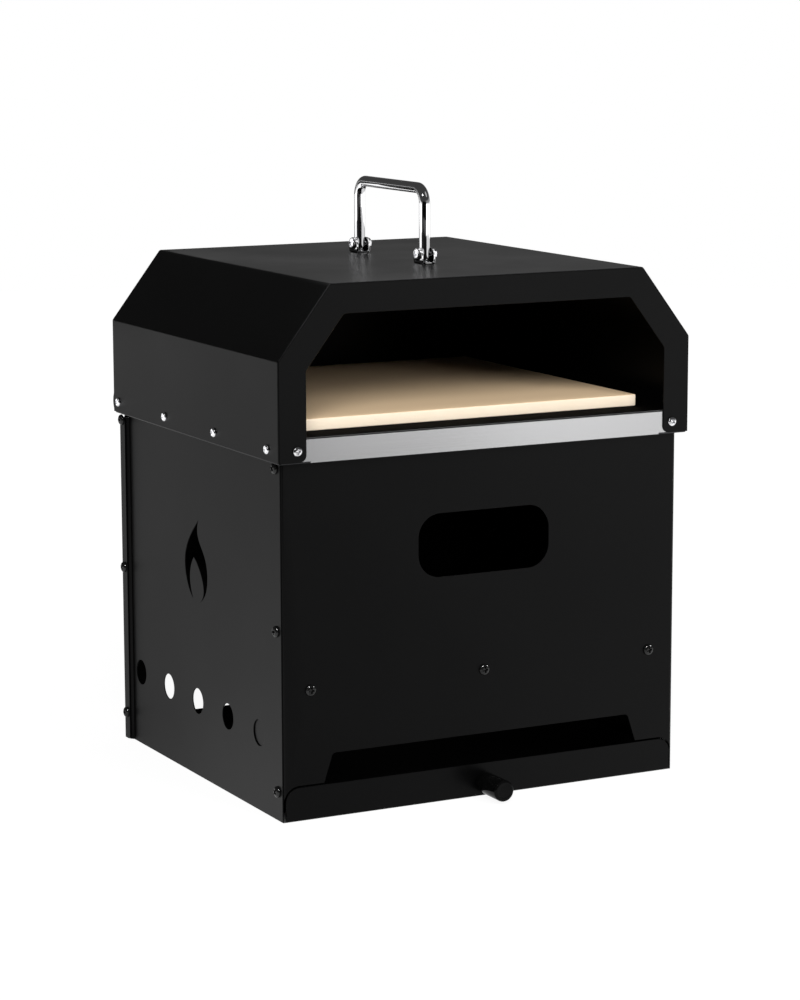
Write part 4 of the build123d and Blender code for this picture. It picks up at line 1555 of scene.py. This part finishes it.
@dataclass
class ScrewKind:
    """Pan-head screw with a cross recess, and the nut on it."""

    shank: float
    head: float
    head_height: float
    nut_flats: float
    edge_share: float = 0.22
    dome_power: float = 2.8
    recess_share: float = 0.55
    recess_end_slope: float = 0.1
    recess_width_share: float = 0.13
    recess_side_slope: float = 0.06
    recess_depth_share: float = 0.7
    dome_lines: tuple[float, ...] = (0.3, 0.68, 0.8, 0.9, 0.97, 1.0)
    tip_edge: float = 0.5
    nut_play: float = 0.02
    nut_face_share: float = 0.97
    chamfer_slope: float = 0.58
    chamfer_start: float = 0.05
    nut_columns: int = 36

    def head_top(self) -> np.ndarray:
        """Top of the head: a height field on a square grid that is bent into a disc.

        x is u times the root of 1 - v²/2, and y is v times the root of 1 - u²/2. The height is a flattened
        dome less the cross recess, whose walls fall between two neighbouring grid lines.
        """
        arm, reach = self.recess_width_share, self.recess_share
        arm_top, reach_foot = arm + self.recess_side_slope, reach - self.recess_end_slope
        half = np.sort([0.0, arm, arm_top, reach_foot, reach, *self.dome_lines])
        lines = np.concatenate([-half[:0:-1], half])
        u, v = np.meshgrid(lines, lines, indexing="ij")
        x = u * np.sqrt(1 - v ** 2 / 2)
        y = v * np.sqrt(1 - u ** 2 / 2)
        rim = np.clip(np.hypot(x, y), 0, 1)
        dome = np.sqrt(np.clip(1 - rim ** self.dome_power, 0, 1))
        dome = self.head_height * (self.edge_share + (1 - self.edge_share) * dome)

        def within(value: np.ndarray, inner: float, outer: float) -> np.ndarray:
            """1 up to the inner limit, falling to 0 at the outer one."""
            return np.clip((outer - np.abs(value)) / (outer - inner), 0, 1)

        along_u = within(v, arm, arm_top) * within(u, reach_foot, reach)
        along_v = within(u, arm, arm_top) * within(v, reach_foot, reach)
        depth = self.head_height * self.recess_depth_share * np.maximum(along_u, along_v)
        return spread(x * self.head / 2, y * self.head / 2, dome - depth)

    def screw(self, length: float) -> Surface:
        """Screw that stands on its seat at height 0, head up and shank down.

        The border of the head's top goes on as rings down the head's side, under it, and along the shank to
        its tip.

        Args:
            length: the shank's length.

        Returns:
            The closed screw.
        """
        top = self.head_top()
        count = len(top)
        index = np.arange(count * count).reshape(count, count)
        border = np.concatenate([index[0, :-1], index[:-1, -1], index[-1, :0:-1], index[:0:-1, 0]])
        around = top.reshape(-1, 3)[border] / (self.head / 2)
        tip = min(self.tip_edge, self.shank / 8)
        levels = [(self.head / 2, 0.0), (self.shank / 2, 0.0), (self.shank / 2, -length + tip),
                  (self.shank / 2 - tip, -length)]
        ring_points = np.concatenate([spread(around[:, 0] * r, around[:, 1] * r, z) for r, z in levels])
        cap = grid_quads(count, count)
        start = count * count
        below = start + np.arange(len(ring_points)).reshape(len(levels), -1)
        numbers = np.concatenate([border[None], below])
        ahead = np.roll(numbers, -1, axis=1)
        walls = np.stack([numbers[:-1], ahead[:-1], ahead[1:], numbers[1:]], axis=-1).reshape(-1, 4)
        middle = start + len(ring_points)
        bottom = np.stack([ahead[-1], np.full(len(border), middle), numbers[-1]], axis=-1)
        points = np.concatenate([top.reshape(-1, 3), ring_points, [[0, 0, -length]]])
        return self.same_way(Surface(points, [cap, walls, bottom]))

    def same_way(self, surface: Surface) -> Surface:
        """The screw with its cap's faces up and the others away from the axis.

        Args:
            surface: the screw's cap, walls and bottom.

        Returns:
            The screw with its faces outwards.
        """
        cap, walls, bottom = surface.faces
        points = surface.points
        if normals(points, cap)[:, 2].sum() < 0:
            cap = cap[:, ::-1]
        first = walls[: len(bottom)]
        if np.einsum("ij,ij->", normals(points, first), points[first[:, 0]] * [1, 1, 0]) < 0:
            walls, bottom = walls[:, ::-1], bottom[:, ::-1]
        if normals(points, bottom)[:, 2].sum() > 0:
            bottom = bottom[:, ::-1]
        return Surface(points, [cap, walls, bottom])

    def nut(self, height: float) -> Surface:
        """Hexagon nut on height 0: rings whose radius follows the hexagon, chamfered at both ends.

        The hexagon's radius is half of the nut's width divided by the cosine of the angle from the nearest
        flat's middle. The chamfer's depth grows evenly with what the hexagon reaches past that half width.

        Args:
            height: the nut's height.

        Returns:
            The closed nut.
        """
        flat = self.nut_flats / 2
        angle = full_turn(self.nut_columns)
        around = np.mod(angle, math.pi / 3) - math.pi / 6
        hexagon = flat / np.cos(around)
        cone = (hexagon - flat) * self.chamfer_slope + self.chamfer_start
        bore = self.shank / 2 + self.nut_play
        inner = flat * self.nut_face_share
        rows = [(bore, 0), (inner, 0), (hexagon, cone), (hexagon, height - cone), (inner, height),
                (bore, height)]
        rings = np.stack([spread(r * np.cos(angle), r * np.sin(angle), z) for r, z in rows])
        faces = grid_quads(len(rows), len(angle), wrap_rows=True, wrap_columns=True)
        return outward(Surface(rings.reshape(-1, 3), [faces]))


HOOD_SCREW = ScrewKind(shank=4.0, head=8.2, head_height=2.6, nut_flats=7.0)
BOX_SCREW = ScrewKind(shank=5.0, head=9.6, head_height=3.0, nut_flats=8.0)
PIN_SCREW = ScrewKind(shank=5.0, head=10.5, head_height=2.8, nut_flats=8.0)


@dataclass
class Fasteners:
    """All screws of one node, or all nuts of one node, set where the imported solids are."""

    node: str
    kind: ScrewKind
    axis: int | None
    side: HeadSide
    finish: Finish
    body: Body
    nuts: bool = False
    spin_step: float = 2.4

    def place(self, box: np.ndarray) -> tuple[np.ndarray, np.ndarray, float]:
        """Way that a fastener's head faces, its seat and its length along that way.

        A node without an axis of its own holds nuts, and a nut lies along its box's shortest side.

        Args:
            box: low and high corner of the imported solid.

        Returns:
            The way as a unit vector, the seat point and the length.
        """
        size = box[1] - box[0]
        axis = int(np.argmin(size)) if self.axis is None else self.axis
        sign = float(self.side.value) or float(np.sign(box.mean(axis=0)[axis]))
        seat = box.mean(axis=0)
        height = size[axis] if self.nuts else self.kind.head_height
        seat[axis] += sign * (size[axis] / 2 - height)
        return sign * np.eye(3)[axis], seat, float(size[axis])

    def build(self) -> None:
        """Builds one piece with every screw or nut of the node."""
        pieces = []
        for index, box in enumerate(solid_boxes(self.node)):
            way, seat, length = self.place(box)
            shape = self.kind.nut(length) if self.nuts else self.kind.screw(length - self.kind.head_height)
            pieces.append(facing(shape, way, seat, 0.0 if self.nuts else index * self.spin_step))
        name = self.node + ("_hex" if self.nuts else "_turned")
        piece = new_piece(name, joined(pieces), self.finish, self.body, (self.node,))
        bright = LitSet.POLISHED_HANDLE if self.kind is PIN_SCREW else LitSet.BRIGHT_SCREWS
        lit = bright if self.finish is BRIGHT_ZINC else LitSet.BLACK_SCREWS
        lit.pieces().objects.link(piece)


def all_fasteners() -> list[Fasteners]:
    """Every node of screws and nuts."""
    oven, box, tray = Body.OVEN, Body.FIREBOX, Body.ASH_TRAY
    return [
        Fasteners("hood_side_screws", HOOD_SCREW, 0, HeadSide.AWAY, BRIGHT_ZINC, oven),
        Fasteners("hood_front_screws", HOOD_SCREW, 1, HeadSide.LOW, BRIGHT_ZINC, oven),
        Fasteners("hood_back_screws", HOOD_SCREW, 1, HeadSide.HIGH, BRIGHT_ZINC, oven),
        Fasteners("hood_nuts", HOOD_SCREW, None, HeadSide.AWAY, BRIGHT_ZINC, oven, nuts=True),
        Fasteners("handle_cross_screws", PIN_SCREW, 0, HeadSide.LOW, BRIGHT_ZINC, oven),
        Fasteners("handle_cross_nuts", PIN_SCREW, 0, HeadSide.LOW, BRIGHT_ZINC, oven, nuts=True),
        Fasteners("firebox_side_screws", BOX_SCREW, 0, HeadSide.AWAY, BLACK_SCREW, box),
        Fasteners("firebox_side_nuts", BOX_SCREW, 0, HeadSide.AWAY, BRIGHT_ZINC, box, nuts=True),
        Fasteners("grate_support_screws", BOX_SCREW, 1, HeadSide.AWAY, BLACK_SCREW, box),
        Fasteners("grate_support_nuts", BOX_SCREW, 1, HeadSide.AWAY, BRIGHT_ZINC, box, nuts=True),
        Fasteners("ash_tray_knob_screw", HOOD_SCREW, 1, HeadSide.HIGH, BRIGHT_ZINC, tray),
    ]


# Camera and studio


@dataclass(frozen=True)
class Lamp:
    """A round soft box.

    It gives its plain light where `lights` is set and shows in reflections where `shines` is. With a lit set
    it reaches the pieces of that set alone.
    """

    name: str
    place: Triple
    size: float
    power: float
    lights: bool = True
    shines: bool = True
    lit: LitSet | None = None


LAMPS = (
    Lamp("key_lamp", (-1.7, -2.9, 2.3), 1.7, 94.0, shines=False),
    Lamp("fill_lamp", (1.0, -3.2, 1.6), 1.5, 62.0, shines=False),
    Lamp("top_lamp", (0.0, -0.4, 3.2), 2.0, 10.0, shines=False),
    Lamp("left_spark", (-2.1, -1.5, 2.5), 0.6, 9.0, lights=False),
    Lamp("bend_glow", (1.2, -1.4, 2.2), 1.3, 1.8, lights=False, lit=LitSet.POLISHED_HANDLE),
    Lamp("screw_spark_left", (-0.66, -2.0, 2.4), 0.5, 130.0, lights=False, lit=LitSet.BLACK_SCREWS),
    Lamp("screw_spark_right", (2.6, -0.66, 1.6), 0.5, 50.0, lights=False, lit=LitSet.BLACK_SCREWS),
)


@dataclass(frozen=True)
class Reflector:
    """An upright card of light that only one set of bright pieces reflects."""

    name: str
    lit: LitSet
    centre: Triple
    way: Triple
    width: float
    height: float
    level: float = 1.0


def leg_cards() -> list[Reflector]:
    """Two cards beside each leg of the handle, the left ones narrow and bright, the right ones dimmer."""
    height, middle_z = 0.05, 0.4715
    sides = (("left", -0.0192, 0.00855, (0.91, -0.41, 0.0), 0.023, 1.0),
             ("right", 0.0157, -0.00985, (-0.85, 0.53, 0.0), 0.036, 0.6))
    cards = []
    for leg, leg_y in (("front", Handle.front_y), ("rear", Handle.rear_y)):
        for side, x, behind, way, width, level in sides:
            centre = (x, leg_y * MM + behind, middle_z)
            cards.append(Reflector(f"{leg}_{side}_card", LitSet.POLISHED_HANDLE, centre, way, width, height,
                                   level))
    return cards


SIDE_CARD = Reflector("side_card", LitSet.BRIGHT_SCREWS, (-0.62, 0.45, 0.25), (0.8, -0.6, 0.0), 1.10, 0.46,
                      level=1.1)


@dataclass(frozen=True)
class Sector:
    """Part of the horizon that reflections see at a level of its own.

    It reaches its level where the cosine of the angle from its middle is the edge plus the softness.
    """

    middle: Triple
    level: float
    edge: float
    softness: float = 0.18

    def fade(self) -> Fade:
        """Level over that cosine, with 1 outside the sector."""
        return Fade(self.edge, self.edge + self.softness, 1.0, self.level)


@dataclass
class Studio:
    """Camera at the photograph's angle, a pale floor, soft lamps and the surroundings.

    The floor's near and sector fades run over the distance from the object's middle, back and front over Y,
    left over X plus its slope times Y, and side over Y plus its slope times X. The sky's run over the
    direction's X (low_sky), Y (far_front) and Z (sky_rise, horizon, gap_height), over its cosine to the
    camera's side (gap_width) and over the gap itself (gap_depth).
    """

    camera_place: Triple = (-1.22114, -2.34992, 0.68847)
    yaw_deg: float = -27.451
    pitch_deg: float = 80.232
    roll_deg: float = -0.131
    lens: float = 109.28
    sensor: float = 36.0
    clip: tuple[float, float] = (0.05, 50.0)
    lamp_aim: Triple = (0.0, 0.0, 0.3)
    fill_level: float = 0.32

    floor_radius: float = 4.2
    floor_hub: float = 0.01
    floor_rings: int = 12
    floor_columns: int = 64
    floor_tone: float = 0.8
    floor_level: float = 1.06
    near_fade: Fade = Fade(0.35, 1.1, 0.91, 1.0)
    left_slope: float = 0.53
    left_fade: Fade = Fade(-0.35, 0.2, 0.52, 1.0)
    back_fade: Fade = Fade(0.1, 1.5, 1.05, 0.88)
    front_fade: Fade = Fade(-2.5, -2.05, 2.3, 1.0)
    side_slope: float = 1.93
    side_fade: Fade = Fade(-0.567, -0.147, 1.68, 0.64)
    sector_fade: Fade = Fade(1.1, 1.4)
    dark_sector: Sector = Sector((-0.635, -0.772, 0.0), 0.04, 0.62)
    dim_sector: Sector = Sector((0.461, 0.887, 0.0), 0.35, 0.72)
    box_low: tuple[float, float] = (-0.1887, -0.1525)
    box_high: tuple[float, float] = (0.1887, 0.178)

    high_sky: float = 0.05
    low_sky: Fade = Fade(-0.3, 0.35, 0.06, 0.30)
    sky_rise: Fade = Fade(0.14, 0.30)
    horizon: Fade = Fade(-0.01, 0.03)
    far_front: Fade = Fade(-0.90, -0.70, 1.9, 1.0)
    to_camera: Triple = (-0.461, -0.887, 0.0)
    gap_width: Fade = Fade(0.68, 0.86)
    gap_height: Fade = Fade(0.05, 0.25, 1.0, 0.0)
    gap_depth: Fade = Fade(0.0, 1.0, 1.0, 0.025)

    card_outline: tuple[tuple[float, float], ...] = (
        (-0.27, 0.36), (0.30, 0.36), (0.30, 0.425), (-0.05, 0.425), (-0.05, 0.50), (-0.27, 0.50))
    card_y: float = 0.40

    def make_camera(self) -> None:
        """Camera with its sensor's long side along the picture's height."""
        data = bpy.data.cameras.new("camera")
        data.lens = self.lens
        data.sensor_width = self.sensor
        data.clip_start, data.clip_end = self.clip
        camera = bpy.data.objects.new("camera", data)
        turn = Matrix.Rotation(math.radians(self.yaw_deg), 3, "Z")
        turn = turn @ Matrix.Rotation(math.radians(self.pitch_deg), 3, "X")
        turn = turn @ Matrix.Rotation(math.radians(self.roll_deg), 3, "Z")
        camera.rotation_euler = turn.to_euler()
        camera.location = self.camera_place
        bpy.context.scene.collection.objects.link(camera)
        bpy.context.scene.camera = camera

    def make_lamp(self, lamp: Lamp) -> None:
        """Soft box that shines from its place to the object's middle."""
        data = bpy.data.lights.new(lamp.name, "AREA")
        data.shape = "DISK"
        data.size = lamp.size
        data.energy = lamp.power
        made = bpy.data.objects.new(lamp.name, data)
        made.location = lamp.place
        way = Vector(self.lamp_aim) - Vector(lamp.place)
        made.rotation_euler = way.to_track_quat("-Z", "Y").to_euler()
        made.visible_glossy = lamp.shines
        made.visible_diffuse = lamp.lights
        bpy.context.scene.collection.objects.link(made)
        if lamp.lit is not None:
            made.light_linking.receiver_collection = lamp.lit.pieces()

    def make_floor(self) -> None:
        """Round pale floor: a disc of rings and sectors at height 0."""
        radius = np.linspace(self.floor_hub, self.floor_radius, self.floor_rings)[:, None] / MM
        angle = full_turn(self.floor_columns)
        rings = spread(radius * np.cos(angle), radius * np.sin(angle), 0.0)
        surface = closed_rings(rings, close_last=False)
        if normals(surface.points, surface.faces[0])[:, 2].sum() < 0:
            surface = Surface(surface.points, [face[:, ::-1] for face in surface.faces])
        floor = bpy.data.objects.new("studio_floor", make_mesh("studio_floor", surface))
        bpy.context.scene.collection.objects.link(floor)
        floor.data.materials.append(self.floor_material())

    def floor_material(self) -> bpy.types.Material:
        """Pale floor that is white to the camera, with the object's shadow near it.

        Reflections see it at the levels of mirrored_floor, and other light sees an even pale tone. Its white
        is part glow and part lit, and the lit part takes the shadow.
        """
        made = bpy.data.materials.new("studio_floor")
        sheet = empty_sheet(made)
        place = sheet.add("ShaderNodeTexCoord").outputs["Object"]
        spot = sheet.add("ShaderNodeSeparateXYZ")
        sheet.link(place, spot.inputs["Vector"])
        away = sheet.add("ShaderNodeVectorMath", operation="LENGTH")
        sheet.link(place, away.inputs[0])
        near = sheet.faded(away.outputs["Value"], self.near_fade)
        mirrored = self.mirrored_floor(sheet, place, spot, away.outputs["Value"])
        level = sheet.between(sheet.seen_rays("Glossy"), 1.0, mirrored)
        glow = sheet.add("ShaderNodeEmission", inputs={"Color": WHITE})
        glowing = sheet.combined("MULTIPLY", near, level, self.outside_box(sheet, spot))
        sheet.link(glowing, glow.inputs["Strength"])
        lit = sheet.combined("MULTIPLY", sheet.calculate("SUBTRACT", self.floor_level, near), level)
        tone = sheet.add("ShaderNodeCombineColor")
        for channel in ("Red", "Green", "Blue"):
            sheet.link(lit, tone.inputs[channel])
        shade = sheet.add("ShaderNodeBsdfDiffuse")
        sheet.link(tone.outputs["Color"], shade.inputs["Color"])
        shown = sheet.add("ShaderNodeAddShader")
        sheet.link(glow.outputs["Emission"], shown.inputs[0])
        sheet.link(shade.outputs["BSDF"], shown.inputs[1])
        pale = (self.floor_tone, self.floor_tone, self.floor_tone, 1.0)
        plain = sheet.add("ShaderNodeBsdfDiffuse", inputs={"Color": pale})
        mix = sheet.add("ShaderNodeMixShader")
        sheet.link(sheet.seen_rays("Camera", "Glossy", "Transmission"), mix.inputs["Fac"])
        sheet.link(plain.outputs["BSDF"], mix.inputs[1])
        sheet.link(shown.outputs["Shader"], mix.inputs[2])
        output = sheet.add("ShaderNodeOutputMaterial")
        sheet.link(mix.outputs["Shader"], output.inputs["Surface"])
        return made

    def mirrored_floor(self, sheet: Sheet, place: Socket, spot: bpy.types.Node, away: Socket) -> Socket:
        """Level at which reflections see the floor, which is the product of several fades.

        It is dimmer on the left, towards the back and beside the object's rear, and brighter beside its
        front and far ahead. Past the sector fade the dark and the dim sector are taken in.

        Args:
            sheet: the floor's material.
            place: the place on the floor.
            spot: node that gives the place's X and Y.
            away: distance from the object's middle.

        Returns:
            The level's output.
        """
        x, y = spot.outputs["X"], spot.outputs["Y"]
        across = sheet.calculate("MULTIPLY_ADD", y, self.left_slope, x)
        along = sheet.calculate("MULTIPLY_ADD", x, self.side_slope, y)
        beside = sheet.calculate("LESS_THAN", x, self.box_low[0])
        return sheet.combined(
            "MULTIPLY", sheet.faded(across, self.left_fade), sheet.faded(y, self.back_fade),
            sheet.faded(y, self.front_fade), sheet.between(beside, 1.0, sheet.faded(along, self.side_fade)),
            sheet.between(sheet.faded(away, self.sector_fade), 1.0, self.sectors(sheet, place)))

    def sectors(self, sheet: Sheet, way: Socket) -> Socket:
        """Level that reflections see along a way: that of the dark or the dim sector, and 1 elsewhere.

        Args:
            sheet: the tree being wired.
            way: place or direction from the middle.

        Returns:
            The level's output.
        """
        level = sheet.add("ShaderNodeVectorMath", operation="MULTIPLY")
        sheet.link(way, level.inputs[0])
        level.inputs[1].default_value = (1.0, 1.0, 0.0)
        unit = sheet.add("ShaderNodeVectorMath", operation="NORMALIZE")
        sheet.link(level.outputs["Vector"], unit.inputs[0])
        parts = [sheet.faded(sheet.cosine(unit.outputs["Vector"], sector.middle), sector.fade())
                 for sector in (self.dark_sector, self.dim_sector)]
        return sheet.combined("MULTIPLY", *parts)

    def outside_box(self, sheet: Sheet, spot: bpy.types.Node) -> Socket:
        """0 on the floor below the firebox and 1 elsewhere.

        Args:
            sheet: the floor's material.
            spot: node that gives the place's X and Y.

        Returns:
            The mask's output.
        """
        parts = []
        for axis, low, high in zip("XY", self.box_low, self.box_high):
            parts.append(sheet.calculate("GREATER_THAN", spot.outputs[axis], low))
            parts.append(sheet.calculate("LESS_THAN", spot.outputs[axis], high))
        return sheet.calculate("SUBTRACT", 1.0, sheet.combined("MULTIPLY", *parts))

    def make_reflector(self, card: Reflector) -> None:
        """Upright area lamp whose power follows from its area and its level."""
        data = bpy.data.lights.new(card.name, "AREA")
        data.shape = "RECTANGLE"
        data.size, data.size_y = card.width, card.height
        data.energy = CARD_POWER * card.width * card.height * card.level
        made = bpy.data.objects.new(card.name, data)
        made.location = card.centre
        made.rotation_euler = Vector(card.way).to_track_quat("-Z", "Y").to_euler()
        made.visible_diffuse = False
        bpy.context.scene.collection.objects.link(made)
        made.light_linking.receiver_collection = card.lit.pieces()

    def make_dark_card(self) -> None:
        """Dim upright card behind the hood, seen by reflections alone, which the handle's grip mirrors."""
        points = np.array([(x, self.card_y, z) for x, z in self.card_outline]) / MM
        face = np.arange(len(points))[None, :]
        card = bpy.data.objects.new("studio_card", make_mesh("studio_card", Surface(points, [face])))
        made = bpy.data.materials.new("studio_card")
        sheet = empty_sheet(made)
        glow = sheet.add("ShaderNodeEmission", inputs={"Color": WHITE, "Strength": self.high_sky})
        output = sheet.add("ShaderNodeOutputMaterial")
        sheet.link(glow.outputs["Emission"], output.inputs["Surface"])
        card.data.materials.append(made)
        bpy.context.scene.collection.objects.link(card)
        card.visible_camera = False
        card.visible_diffuse = False
        card.visible_transmission = False
        card.visible_shadow = False

    def make_surroundings(self) -> None:
        """World that is white to the camera and an even fill to matt surfaces.

        Reflections see the levels of mirrored_sky.
        """
        world = bpy.data.worlds.new("studio")
        bpy.context.scene.world = world
        sheet = empty_sheet(world)
        mirrored = self.mirrored_sky(sheet, sheet.add("ShaderNodeTexCoord").outputs["Generated"])
        strength = sheet.between(sheet.seen_rays("Glossy"), self.fill_level, mirrored)
        strength = sheet.calculate("MAXIMUM", strength, sheet.seen_rays("Camera", "Transmission"))
        light = sheet.add("ShaderNodeBackground", inputs={"Color": WHITE})
        sheet.link(strength, light.inputs["Strength"])
        output = sheet.add("ShaderNodeOutputWorld")
        sheet.link(light.outputs["Background"], output.inputs["Surface"])

    def mirrored_sky(self, sheet: Sheet, direction: Socket) -> Socket:
        """Level that reflections see in a direction.

        Below the horizon it is that of the sectors, brighter far ahead. Above, a grey band that is darker on
        the left passes into the high sky's level, and a dark gap lies low on the camera's side.

        Args:
            sheet: the world's tree.
            direction: direction of the ray.

        Returns:
            The level's output.
        """
        way = sheet.add("ShaderNodeSeparateXYZ")
        sheet.link(direction, way.inputs["Vector"])
        x, y, z = (way.outputs[axis] for axis in "XYZ")
        band = sheet.between(sheet.faded(z, self.sky_rise), sheet.faded(x, self.low_sky), self.high_sky)
        below = sheet.calculate("MULTIPLY", self.sectors(sheet, direction), sheet.faded(y, self.far_front))
        sky = sheet.between(sheet.faded(z, self.horizon), below, band)
        facing_camera = sheet.faded(sheet.cosine(direction, self.to_camera), self.gap_width)
        gap = sheet.calculate("MULTIPLY", facing_camera, sheet.faded(z, self.gap_height))
        return sheet.calculate("MULTIPLY", sky, sheet.faded(gap, self.gap_depth))

    def build(self) -> None:
        """Makes camera, floor, surroundings, cards and lamps."""
        bpy.context.scene.view_settings.view_transform = "Standard"
        self.make_camera()
        self.make_floor()
        self.make_surroundings()
        self.make_dark_card()
        for lamp in LAMPS:
            self.make_lamp(lamp)
        for card in (*leg_cards(), SIDE_CARD):
            self.make_reflector(card)


def main() -> None:
    """Loads the frame and builds every class in order, logging each piece's points and faces."""
    logging.basicConfig(level=logging.INFO, format="%(name)s: %(message)s")
    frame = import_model()
    PACKED.update(frame["nodes"])
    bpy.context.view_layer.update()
    Studio().build()
    builders = [Hood(), OvenFloor(), Handle(), PizzaStone(), CharcoalGrate(), Firebox(), AshTray(),
                *all_fasteners()]
    for builder in builders:
        builder.build()
        LOG.info("%s is built", type(builder).__name__)


if __name__ == "__main__":
    main()
